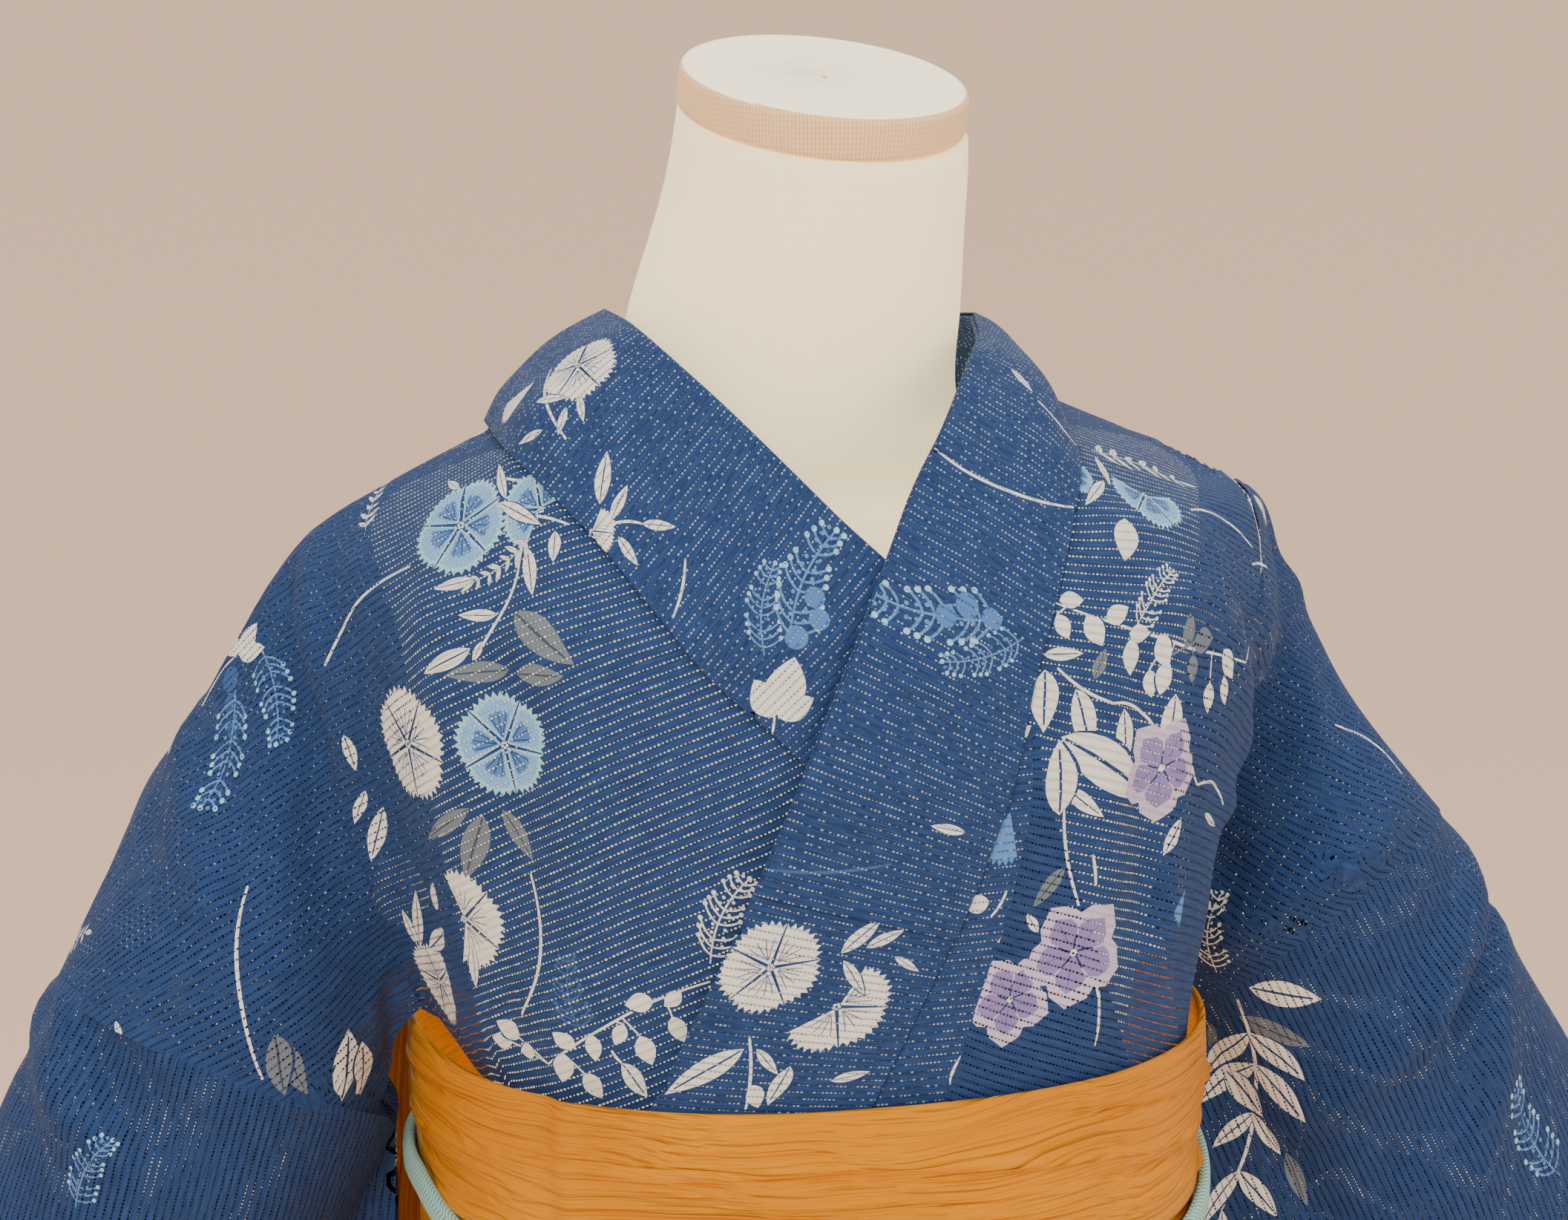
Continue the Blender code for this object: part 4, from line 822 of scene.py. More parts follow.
# Motifs that the photo shows, by piece: kind, foot or middle, and tip or one petal's edge on the photo,
# tint
MOTIFS = {
    "body_right": (
        ("pink", 588, 670, 550, 622, "blue"), ("half", 690, 650, 650, 615, "blue"),
        ("pink", 520, 949, 509, 873, "white"), ("pink", 644, 950, 627, 881, "blue"),
        ("leaf", 645, 636, 636, 593, "white"), ("leaf", 636, 641, 690, 666, "white"),
        ("leaf", 584, 623, 554, 602, "white"), ("broad", 708, 677, 708, 716, "white"),
        ("leaf", 672, 698, 681, 759, "white"), ("leaf", 604, 738, 554, 754, "white"),
        ("leaf", 634, 784, 585, 788, "white"), ("leaf", 600, 827, 545, 860, "white"),
        ("leaf", 615, 818, 602, 845, "white"), ("fine", 677, 686, 602, 741, "white"),
        ("broad", 656, 781, 729, 838, "grey"), ("leaf", 649, 854, 573, 863, "grey"),
        ("broad", 659, 860, 717, 858, "grey"), ("leaf", 598, 1031, 546, 1078, "grey"),
        ("broad", 616, 1040, 600, 1124, "grey"), ("leaf", 641, 1033, 681, 1097, "grey"),
        ("leaf", 437, 938, 455, 983, "white"), ("leaf", 466, 1008, 455, 1051, "white"),
        ("leaf", 489, 1029, 480, 1099, "white"), ("half", 592, 1172, 652, 1175, "white"),
        ("pink", 564, 1250, 540, 1206, "white"), ("leaf", 536, 1207, 527, 1135, "white"),
        ("leaf", 532, 1205, 512, 1160, "white"), ("broad", 548, 1210, 588, 1164, "white"),
        ("egg", 556, 1160, 555, 1124, "white"), ("leaf", 602, 1205, 609, 1260, "white"),
        ("broad", 793, 1356, 829, 1397, "white"), ("fern", 906, 1229, 956, 1121, "white"),
        ("fern", 743, 1317, 725, 1218, "faint"), ("egg", 304, 836, 330, 795, "white"),
        ("egg", 306, 838, 342, 826, "white"), ("egg", 302, 836, 300, 800, "white"),
        ("blob", 294, 866, 294, 850, "azure_deep"), ("blob", 294, 897, 294, 884, "azure_deep"),
        ("blob", 297, 929, 297, 917, "azure_deep"), ("fern", 334, 829, 351, 950, "sky_deep"),
        ("fern", 300, 880, 255, 1030, "sky_deep"), ("broad", 437, 1402, 446, 1309, "white"),
        ("broad", 464, 1386, 469, 1309, "white"), ("leaf", 353, 1325, 396, 1391, "grey"),
        ("broad", 350, 1320, 372, 1392, "grey"), ("fine", 466, 676, 496, 610, "white"),
        ("leaf", 147, 1302, 156, 1330, "white"), ("egg", 100, 1290, 92, 1262, "white"),
    ),
    "over_collar": (
        ("pink", 737, 466, 700, 432, "white"), ("petal", 686, 482, 640, 537, "white"),
        ("leaf", 683, 512, 722, 505, "white"), ("leaf", 738, 503, 745, 537, "white"),
        ("leaf", 722, 519, 713, 555, "white"), ("leaf", 692, 548, 661, 568, "white"),
        ("half", 754, 677, 778, 701, "white"), ("leaf", 765, 643, 772, 575, "white"),
        ("leaf", 779, 664, 799, 618, "white"), ("leaf", 819, 668, 862, 670, "white"),
        ("leaf", 788, 684, 815, 720, "white"), ("fern", 975, 836, 994, 720, "sky_deep"),
        ("fern", 1007, 822, 1071, 676, "sky_deep"), ("blob", 1016, 813, 1016, 797, "azure"),
        ("blob", 1039, 762, 1039, 748, "azure"), ("blob", 1045, 790, 1045, 776, "azure"),
        ("egg", 988, 915, 962, 866, "white"), ("egg", 990, 912, 1014, 838, "white"),
        ("egg", 992, 915, 1038, 890, "white"), ("fern", 1279, 790, 1118, 754, "sky_deep"),
        ("fern", 1306, 813, 1198, 845, "sky_deep"), ("blob", 1207, 785, 1207, 770, "azure"),
        ("blob", 1234, 772, 1234, 755, "azure"), ("blob", 1265, 790, 1265, 775, "azure"),
        ("fine", 1238, 428, 1286, 568, "white"), ("leaf", 1290, 470, 1318, 500, "white"),
        ("leaf", 1232, 1062, 1187, 1055, "white"), ("leaf", 1223, 1084, 1155, 1105, "white"),
        ("egg", 1226, 1014, 1216, 970, "white"),
    ),
    "okumi_left": (
        ("egg", 1262, 1150, 1228, 1156, "white"), ("petal", 1290, 1030, 1270, 1104, "blue_solid"),
        ("leaf", 1251, 1040, 1277, 1001, "white"), ("broad", 1216, 1392, 1222, 1346, "white"),
        ("leaf", 1160, 1300, 1172, 1262, "sky"),
    ),
    "body_left": (
        ("half", 1372, 607, 1398, 607, "blue"), ("fine", 1392, 574, 1506, 614, "white"),
        ("leaf", 1397, 582, 1417, 620, "white"), ("leaf", 1408, 613, 1379, 652, "white"),
        ("half", 1460, 631, 1478, 678, "blue"), ("egg", 1435, 661, 1437, 713, "white"),
        ("pink", 1612, 648, 1612, 628, "white"), ("broad", 1396, 866, 1408, 826, "grey"),
        ("leaf", 1331, 835, 1383, 831, "white"), ("broad", 1333, 854, 1320, 947, "white"),
        ("broad", 1372, 879, 1399, 954, "white"), ("broad", 1435, 904, 1437, 981, "white"),
        ("broad", 1500, 885, 1489, 960, "white"), ("broad", 1354, 940, 1449, 1013, "white"),
        ("leaf", 1360, 1006, 1406, 1038, "white"), ("broad", 1351, 1040, 1278, 1120, "white"),
        ("broad", 1354, 961, 1295, 1051, "grey"), ("leaf", 1376, 1058, 1455, 1097, "grey"),
        ("leaf", 1358, 1106, 1317, 1160, "grey"), ("bell", 1482, 980, 1474, 1045, "lilac"),
        ("bell", 1288, 1275, 1278, 1333, "lilac"), ("bell", 1369, 1215, 1358, 1284, "lilac"),
        ("leaf", 1507, 1042, 1494, 1094, "white"), ("leaf", 1537, 1038, 1558, 1064, "white"),
        ("leaf", 1324, 1189, 1286, 1210, "white"), ("petal", 1512, 1130, 1498, 1180, "blue_solid"),
        ("fern", 1552, 1240, 1563, 1145, "white"), ("fern", 1607, 862, 1618, 945, "azure"),
        ("fern", 1447, 804, 1494, 732, "white"),
    ),
    "collar": (
        ("pink", 983, 1234, 1040, 1190, "white"), ("half", 1067, 1284, 1118, 1322, "white"),
        ("leaf", 1073, 1216, 1123, 1170, "white"), ("leaf", 1076, 1225, 1105, 1268, "white"),
        ("leaf", 1105, 1209, 1153, 1184, "white"), ("leaf", 1141, 1220, 1173, 1238, "white"),
        ("leaf", 949, 1338, 850, 1399, "white"), ("leaf", 965, 1338, 994, 1370, "white"),
        ("broad", 1008, 1360, 983, 1410, "white"), ("egg", 960, 1384, 967, 1413, "white"),
        ("leaf", 1060, 1379, 1110, 1365, "white"),
    ),
    "sleeve_left": (
        ("broad", 1593, 1260, 1686, 1269, "white"), ("leaf", 1580, 1296, 1673, 1334, "grey"),
        ("leaf", 1544, 1305, 1516, 1341, "grey"), ("spray", 1578, 1275, 1560, 1545, "white"),
        ("broad", 1562, 1364, 1614, 1420, "white"), ("leaf", 1640, 1470, 1672, 1530, "grey"),
        ("fern", 1990, 1499, 1920, 1377, "sky_deep"), ("egg", 1818, 1038, 1818, 1022, "white"),
    ),
    "sleeve_right": (
        ("fern", 96, 1540, 150, 1450, "sky_deep"),
    ),
}
# Stems, by piece: start and end on the photo, bow as a share of the length, tint
STEMS = {
    "body_right": (
        (724, 668, 593, 682, 0.10, "white"), (661, 727, 602, 845, -0.10, "white"),
        (677, 660, 661, 727, 0.05, "white"), (523, 722, 414, 849, 0.12, "white"),
        (819, 760, 751, 910, 0.14, "white"), (316, 1130, 335, 1377, 0.10, "white"),
        (677, 1114, 664, 1295, -0.12, "white"), (302, 836, 258, 900, 0.10, "white"),
        (780, 1340, 793, 1356, 0.05, "white"),
    ),
    "over_collar": (
        (776, 670, 819, 668, 0.08, "white"), (702, 470, 722, 560, -0.06, "white"),
        (874, 713, 858, 788, 0.06, "white"), (1191, 570, 1370, 647, -0.10, "white"),
        (1324, 511, 1374, 568, -0.06, "white"), (974, 1107, 1137, 1102, -0.05, "faint"),
        (988, 915, 975, 985, 0.08, "white"),
    ),
    "body_left": (
        (1349, 852, 1421, 897, -0.06, "white"), (1421, 897, 1476, 933, 0.14, "white"),
        (1358, 1020, 1376, 1155, -0.04, "white"), (1503, 915, 1526, 1001, -0.04, "white"),
        (1526, 1001, 1569, 1051, 0.12, "white"), (1397, 1250, 1397, 1334, 0.03, "white"),
        (1519, 650, 1598, 699, 0.12, "white"), (1394, 1090, 1398, 1130, 0.03, "white"),
        (1704, 924, 1790, 988, 0.14, "white"), (1598, 720, 1630, 729, 0.05, "white"),
    ),
    "okumi_left": (
        (1284, 1136, 1264, 1169, -0.06, "white"), (1306, 1135, 1273, 1202, -0.04, "white"),
    ),
    "collar": (
        (956, 1324, 951, 1415, 0.03, "white"),
    ),
    "sleeve_left": (
        (1636, 1287, 1838, 1393, -0.12, "white"),
    ),
}
# Twigs with small round leaves, by piece: start, end, bow, leaf length in metres, tint, leaf middles
TWIGS = {
    "body_right": (
        (906, 1252, 698, 1358, 0.05, 0.0095, "white",
         ((639, 1327), (651, 1311), (673, 1340), (718, 1327), (718, 1363),
          (757, 1337), (790, 1320), (757, 1385), (815, 1279), (858, 1275), (865, 1313), (824, 1340))),
    ),
    "body_left": (
        (1330, 765, 1590, 845, -0.06, 0.0105, "white",
         ((1324, 761), (1306, 785), (1367, 765), (1356, 799), (1397, 804),
          (1426, 783), (1453, 808), (1442, 838), (1485, 831), (1467, 872), (1485, 865), (1567, 847),
          (1562, 881), (1542, 890))),
        (1495, 835, 1530, 815, 0.0, 0.0095, "grey", ((1517, 804), (1535, 817), (1521, 853))),
    ),
}
TINTS = {
    "navy": (0.012, 0.034, 0.098),
    "white": (0.82, 0.81, 0.76),
    "sky": (0.20, 0.44, 0.78),
    "azure": (0.075, 0.20, 0.50),
    "azure_deep": (0.035, 0.10, 0.30),
    "blue_solid": (0.10, 0.27, 0.62),
    "sky_deep": (0.10, 0.25, 0.56),
    "fringe": (0.33, 0.64, 0.84),
    "lilac": (0.26, 0.20, 0.47),
    "lilac_pale": (0.58, 0.49, 0.69),
    "lilac_deep": (0.12, 0.09, 0.28),
    "grey": (0.155, 0.19, 0.235),
    "grey_deep": (0.05, 0.07, 0.11),
    "faint": (0.045, 0.11, 0.28),
    "vein": (0.10, 0.14, 0.26),
}
# Motifs for what the photo doesn't show: kind, size in metres, tint
SCATTER_KINDS = (
    ("pink", 0.019, "white"), ("spray", 0.062, "white"), ("fern", 0.046, "sky_deep"), ("pink", 0.020, "blue"),
    ("berries", 0.060, "white"), ("bell", 0.018, "lilac"), ("leaves", 0.030, "grey"),
    ("fine", 0.040, "white"), ("leaves", 0.030, "white"),
)


class Cloth:
    """A panel's fine grid in space and its flat pattern, with the way from one to the other."""

    def __init__(self, name, grid, weft):
        self.name = name
        self.grid = grid
        self.rows, self.columns = grid.shape[:2]
        self.flat = self.ruled() if weft.get("ruled") else self.unwrap()
        self.lay_straight(weft)
        self.normals = self.grid_normals()

    def faces(self):
        faces = []
        for i in range(self.rows - 1):
            for j in range(self.columns - 1):
                a = i * self.columns + j
                faces.append((a, a + 1, a + self.columns + 1, a + self.columns))
        return faces

    def ruled(self):
        """A long strip's pattern: each row at its own distance along, each point at its own across."""
        along = np.linalg.norm(np.diff(self.grid, axis=0), axis=2).mean(1)
        across = np.linalg.norm(np.diff(self.grid, axis=1), axis=2)
        v = np.concatenate([[0.0], np.cumsum(along)])
        u = np.concatenate([np.zeros((self.rows, 1)), np.cumsum(across, 1)], 1)
        u -= u[:, -1:] * 0.5
        return np.stack([u, np.repeat(v[:, None], self.columns, 1)], -1)

    def unwrap(self):
        """Flattens the grid with the least stretch, and gives each point its place in metres."""
        mesh = bpy.data.meshes.new("pattern")
        mesh.from_pydata([Vector(p) for p in self.grid.reshape(-1, 3)], [], self.faces())
        mesh.uv_layers.new(name="flat")
        pattern = bpy.data.objects.new("pattern", mesh)
        bpy.context.collection.objects.link(pattern)
        bpy.ops.object.select_all(action="DESELECT")
        pattern.select_set(True)
        bpy.context.view_layer.objects.active = pattern
        bpy.ops.object.mode_set(mode="EDIT")
        bpy.ops.mesh.select_all(action="SELECT")
        bpy.ops.uv.unwrap(method="CONFORMAL", margin=0.0)
        bpy.ops.object.mode_set(mode="OBJECT")
        loops = np.zeros(len(mesh.loops) * 2)
        mesh.uv_layers[0].data.foreach_get("uv", loops)
        corner = np.zeros(len(mesh.loops), int)
        mesh.loops.foreach_get("vertex_index", corner)
        flat = np.zeros((len(mesh.vertices), 2))
        flat[corner] = loops.reshape(-1, 2)
        flat = flat.reshape(self.rows, self.columns, 2)
        bpy.data.objects.remove(pattern)
        bpy.data.meshes.remove(mesh)
        return self.even_out(flat)

    def even_out(self, flat):
        """Scales the pattern to real size and lets its threads take their true lengths."""
        across = np.linalg.norm(np.diff(self.grid, axis=1), axis=2)
        along = np.linalg.norm(np.diff(self.grid, axis=0), axis=2)
        flat_across = np.linalg.norm(np.diff(flat, axis=1), axis=2)
        flat_along = np.linalg.norm(np.diff(flat, axis=0), axis=2)
        flat = flat * (across.sum() + along.sum()) / (flat_across.sum() + flat_along.sum())
        slant = np.linalg.norm(self.grid[1:, 1:] - self.grid[:-1, :-1], axis=2)
        counter = np.linalg.norm(self.grid[1:, :-1] - self.grid[:-1, 1:], axis=2)
        ties = (
            ((slice(None), slice(1, None)), (slice(None), slice(None, -1)), across),
            ((slice(1, None), slice(None)), (slice(None, -1), slice(None)), along),
            ((slice(1, None), slice(1, None)), (slice(None, -1), slice(None, -1)), slant),
            ((slice(1, None), slice(None, -1)), (slice(None, -1), slice(1, None)), counter),
        )
        share = np.zeros(flat.shape[:2])
        for one, other, _ in ties:
            share[one] += 1
            share[other] += 1
        for _ in range(400):
            pull = np.zeros_like(flat)
            for one, other, want in ties:
                gap = flat[one] - flat[other]
                size = np.linalg.norm(gap, axis=2) + 1e-9
                shift = gap * (0.5 * (want - size) / size)[..., None]
                pull[one] += shift
                pull[other] -= shift
            flat = flat + pull / share[..., None] * 0.9
        return flat

    def lay_straight(self, weft):
        """Turns the pattern so that the weft runs along its u, as read at one place.

        weft holds that place's shares of the rows and columns, or a place on the photo and its slope."""
        if "slope" in weft:
            place = self.locate(weft["x"], weft["y"])
            slope = math.radians(weft["slope"])
            along = place["way"] @ np.array([math.cos(slope), -math.sin(slope)])
        else:
            i = int(weft["row"] * (self.rows - 1))
            j = int(weft["column"] * (self.columns - 2))
            along = self.flat[i, j + 1] - self.flat[i, j]
        angle = -math.atan2(along[1], along[0])
        c, s = math.cos(angle), math.sin(angle)
        self.flat = self.flat @ np.array([[c, s], [-s, c]])
        self.flat -= self.flat.reshape(-1, 2).min(0)

    def grid_normals(self):
        along = np.gradient(self.grid, axis=0)
        across = np.gradient(self.grid, axis=1)
        normal = np.cross(across, along)
        size = np.linalg.norm(normal, axis=2)
        size[size < 1e-12] = 1
        return normal / size[..., None]

    def locate(self, x, y):
        """The flat place under a place on the photo, and how photo steps turn into flat steps."""
        spots, far = on_photo(self.grid.reshape(-1, 3))
        spots = spots.reshape(self.rows, self.columns, 2)
        far = far.reshape(self.rows, self.columns)
        off = np.linalg.norm(spots - np.array([x, y]), axis=2)
        off = off[1:-1, 1:-1]
        near = off < max(off.min() + 5, 9)
        depth = np.where(near, far[1:-1, 1:-1] + off * 0.0004, 99)
        i, j = np.unravel_index(np.argmin(depth), depth.shape)
        i, j = i + 1, j + 1
        on_screen, in_flat = (
            np.stack([(at[i + 1, j] - at[i - 1, j]) / 2, (at[i, j + 1] - at[i, j - 1]) / 2], 1)
            for at in (spots, self.flat))
        way = in_flat @ np.linalg.inv(on_screen)
        step = np.array([x, y]) - spots[i, j]
        scale = far[i, j] / (PHOTO_WIDTH * CAMERA_LENS / CAMERA_SENSOR)
        return {"flat": self.flat[i, j] + way @ step, "way": way, "off": float(off.min()), "scale": scale}

    def placed_motif(self, kind, start, end, tint):
        """A motif whose foot and tip fall on two places of the photo."""
        place = self.locate(*start)
        there = self.locate(*end)
        way = place["way"] if there["off"] > 12 else (place["way"] + there["way"]) / 2
        up = way @ (np.array(end) - np.array(start))
        size = float(np.linalg.norm(up))
        up /= size
        seen = math.dist(start, end) * place["scale"]
        round_one = kind in ("pink", "half", "bell")
        size = min(max(size, seen * 0.8), seen * (1.12 if round_one else 1.4))
        slim = 1.0 if round_one else seen / size
        side = place["way"] @ np.array([end[1] - start[1], start[0] - end[0]]) * -1.0
        hand = 1.0 if up[1] * side[0] - up[0] * side[1] > 0 else -1.0
        right = np.array([up[1], -up[0]]) * hand
        shapes = []
        for outline, tone in motif(kind, size, tint):
            spun = np.array(outline)
            shapes.append((place["flat"] + spun[:, :1] * right * slim + spun[:, 1:] * up, tone))
        return shapes

    def placed_stem(self, start, end, bend, tint):
        place = self.locate(*start)
        one = place["flat"]
        other = self.locate(*end)["flat"]
        length = float(np.linalg.norm(other - one))
        longest = 1.6 * math.dist(start, end) * place["scale"]
        other = one + (other - one) * min(1.0, longest / length)
        length = min(length, longest)
        line = arc(tuple(one), tuple(other), bend, 14)
        return [(np.array(strip(line, 0.0010 + length * 0.004)), tint)]

    def placed_twig(self, start, end, bend, size, tint, middles):
        """A stem with a round leaf on a short stalk at each middle."""
        one = self.locate(*start)["flat"]
        other = self.locate(*end)["flat"]
        line = np.array(arc(tuple(one), tuple(other), bend, 24))
        shapes = [(np.array(strip([tuple(p) for p in line], 0.0009)), tint)]
        for k, (x, y) in enumerate(middles):
            middle = self.locate(x, y)["flat"]
            foot = line[np.linalg.norm(line - middle, axis=1).argmin()]
            along = middle - foot + (other - one) * 0.04
            turn = math.atan2(along[1], along[0]) - math.pi / 2 + 0.3 * math.sin(2.3 * k)
            long = size * (1.0 + 0.16 * math.sin(1.9 * k))
            start_at = turned([(0, -long / 2)], turn, *middle)[0]
            shapes.append((np.array(turned(lens(long * 1.08, long * 0.78), turn, *start_at)), "navy"))
            shapes.append((np.array(turned(lens(long, long * 0.66), turn, *start_at)), tint))
            if np.linalg.norm(np.array(start_at) - foot) > 0.0015:
                shapes.append((np.array(strip([tuple(foot), start_at], 0.0009)), tint))
        return shapes

    def scattered(self, seed, allowed, spacing):
        """Motifs strewn where allowed(row share, column share) says."""
        pick = random.Random(seed)
        shapes = []
        taken = []
        order = list(SCATTER_KINDS)
        pick.shuffle(order)
        for _ in range(500):
            i = pick.randrange(2, self.rows - 2)
            j = pick.randrange(2, self.columns - 2)
            if not allowed(i / (self.rows - 1), j / (self.columns - 1)):
                continue
            spot = self.flat[i, j]
            if any(np.linalg.norm(spot - other) < spacing for other in taken):
                continue
            taken.append(spot)
            kind, size, tint = order[len(taken) % len(order)]
            turn = pick.uniform(0, math.tau)
            for outline, tone in motif(kind, size * pick.uniform(0.85, 1.15), tint):
                shapes.append((np.array(turned(outline, turn)) + spot, tone))
        return shapes

    def printed(self, shapes, cell, finish):
        """The finished mesh: the pattern cut along every printed outline and laid on the drape."""
        rim = [(0, j) for j in range(self.columns)]
        rim += [(i, self.columns - 1) for i in range(1, self.rows)]
        rim += [(self.rows - 1, j) for j in range(self.columns - 2, -1, -1)]
        rim += [(i, 0) for i in range(self.rows - 2, 0, -1)]
        points = []
        outlines = []
        tints = []
        for outline, tint in [(np.array([self.flat[i, j] for i, j in rim]), None), *shapes]:
            following = np.roll(outline, -1, 0)
            area = (outline[:, 0] * following[:, 1] - outline[:, 1] * following[:, 0]).sum()
            first = len(points)
            points += [tuple(p) for p in (outline if area > 0 else outline[::-1])]
            outlines.append(list(range(first, first + len(outline))))
            tints.append(tint)
        step_rows = max(1, round(cell * (self.rows - 1) / self.length(0)))
        step_columns = max(1, round(cell * (self.columns - 1) / self.length(1)))
        inner = [tuple(self.flat[i, j]) for i in range(step_rows, self.rows - 1, step_rows)
                 for j in range(step_columns, self.columns - 1, step_columns)]
        points += inner
        points = [Vector(p) for p in points]
        flat, _, faces, _, _, sources = delaunay_2d_cdt(points, [], outlines, 0, 1e-7, True)
        keep = [k for k in range(len(faces)) if 0 in sources[k] and len(faces[k]) == 3]
        flat = np.array([tuple(p) for p in flat])
        place, normal = self.lift(flat)
        used = sorted({v for k in keep for v in faces[k]})
        number = {v: n for n, v in enumerate(used)}
        triangles = [tuple(number[v] for v in faces[k]) for k in keep]
        flat, place, normal = flat[used], place[used], normal[used]
        mesh = bpy.data.meshes.new(f"{self.name}_cloth")
        mesh.from_pydata([Vector(p) for p in place], [], self.facing_out(triangles, place, normal))
        corner = np.zeros(len(mesh.loops), int)
        mesh.loops.foreach_get("vertex_index", corner)
        layer = mesh.uv_layers.new(name="cloth")
        layer.data.foreach_set("uv", flat[corner].ravel())
        shade = mesh.attributes.new("print", "FLOAT_COLOR", "CORNER")
        top = [max(sources[k]) for k in keep]
        inks = [tints[t] or "navy" for t in top]
        paint = np.array([(*TINTS[ink], 0.0 if ink == "navy" else 1.0) for ink in inks])
        shade.data.foreach_set("color", np.repeat(paint, 3, 0).ravel())
        mesh.shade_smooth()
        mesh.normals_split_custom_set_from_vertices([Vector(n) for n in normal])
        mesh.materials.append(finish)
        made = bpy.data.objects.new(f"{self.name}_cloth", mesh)
        bpy.context.collection.objects.link(made)
        return made

    def length(self, axis):
        return float(np.linalg.norm(np.diff(self.grid, axis=axis), axis=2).sum(axis).mean())

    def lift(self, flat):
        """Carries flat points on to the drape."""
        corners = [Vector((p[0], p[1], 0)) for p in self.flat.reshape(-1, 2)]
        triangles = []
        for a, b, c, d in self.faces():
            triangles += [(a, b, c), (a, c, d)]
        tree = BVHTree.FromPolygons(corners, triangles, all_triangles=True)
        triangles = np.array(triangles)
        found = np.array([tree.find_nearest(Vector((p[0], p[1], 0)))[2] for p in flat])
        chosen = triangles[found]
        base = self.flat.reshape(-1, 2)
        a, b, c = base[chosen[:, 0]], base[chosen[:, 1]], base[chosen[:, 2]]
        one, two, to = b - a, c - a, flat - a
        area = one[:, 0] * two[:, 1] - one[:, 1] * two[:, 0]
        area = np.where(np.abs(area) < 1e-14, 1e-14, area)
        s = np.clip((to[:, 0] * two[:, 1] - to[:, 1] * two[:, 0]) / area, 0, 1)
        t = np.clip((one[:, 0] * to[:, 1] - one[:, 1] * to[:, 0]) / area, 0, 1)
        weight = np.stack([1 - s - t, s, t], 1)
        places = self.grid.reshape(-1, 3)[chosen]
        normals = self.normals.reshape(-1, 3)[chosen]
        place = (places * weight[..., None]).sum(1)
        normal = (normals * weight[..., None]).sum(1)
        return place, normal / np.linalg.norm(normal, axis=1)[:, None]

    def facing_out(self, triangles, place, normal):
        turned_faces = []
        for a, b, c in triangles:
            way = np.cross(place[b] - place[a], place[c] - place[a]) @ (normal[a] + normal[b] + normal[c])
            turned_faces.append((a, b, c) if way >= 0 else (a, c, b))
        return turned_faces


# Drape

# Creases that the photo shows, by piece: start and end on the photo, width, depth, and bow as a share
# of the length
CREASES = {
    "body_right": (
        (400, 702, 432, 905, 0.0085, -0.0052, 0.04), (428, 880, 500, 1205, 0.0090, -0.0060, 0.05),
        (452, 760, 560, 1190, 0.0130, 0.0036, 0.05), (360, 735, 405, 1010, 0.0100, 0.0034, -0.03),
        (575, 640, 610, 1010, 0.0110, -0.0030, 0.07), (655, 700, 700, 1230, 0.0120, 0.0026, 0.05),
        (745, 820, 735, 1330, 0.0100, -0.0024, 0.04), (560, 1130, 600, 1335, 0.0070, -0.0032, -0.06),
        (640, 1215, 665, 1375, 0.0055, 0.0026, 0.05), (705, 1255, 712, 1390, 0.0050, -0.0026, -0.04),
        (500, 1250, 560, 1335, 0.0045, 0.0030, 0.10), (240, 900, 300, 1180, 0.0110, -0.0034, 0.05),
        (300, 1050, 395, 1330, 0.0090, 0.0030, 0.04),
    ),
    "body_left": (
        (1415, 690, 1440, 1060, 0.0120, 0.0028, -0.05), (1455, 800, 1465, 1240, 0.0080, -0.0032, -0.04),
        (1500, 1010, 1480, 1300, 0.0070, 0.0036, -0.05), (1380, 900, 1330, 1330, 0.0110, -0.0024, -0.03),
        (1300, 1010, 1290, 1360, 0.0090, 0.0020, 0.04), (1400, 1180, 1385, 1350, 0.0050, 0.0024, 0.03),
        (1585, 760, 1620, 960, 0.0100, -0.0044, -0.05), (1560, 1010, 1560, 1200, 0.0070, 0.0036, 0.06),
        (1660, 840, 1680, 1010, 0.0090, 0.0034, 0.04),
    ),
    "over_collar": (
        (870, 700, 1010, 1180, 0.0100, 0.0012, 0.03), (1260, 620, 1180, 980, 0.0110, 0.0010, -0.04),
    ),
    "sleeve_left": (
        (1700, 1010, 1600, 1460, 0.0130, 0.0048, 0.05), (1780, 1030, 1740, 1540, 0.0140, -0.0050, 0.03),
        (1620, 1180, 1580, 1530, 0.0080, -0.0038, -0.03), (1880, 1100, 1880, 1545, 0.0130, 0.0042, -0.04),
        (1830, 1240, 1810, 1545, 0.0090, 0.0030, 0.02),
    ),
    "sleeve_right": (
        (230, 1010, 250, 1540, 0.0130, 0.0046, -0.03), (140, 1040, 110, 1540, 0.0130, -0.0048, 0.04),
        (330, 1200, 350, 1540, 0.0090, -0.0036, 0.02),
    ),
}
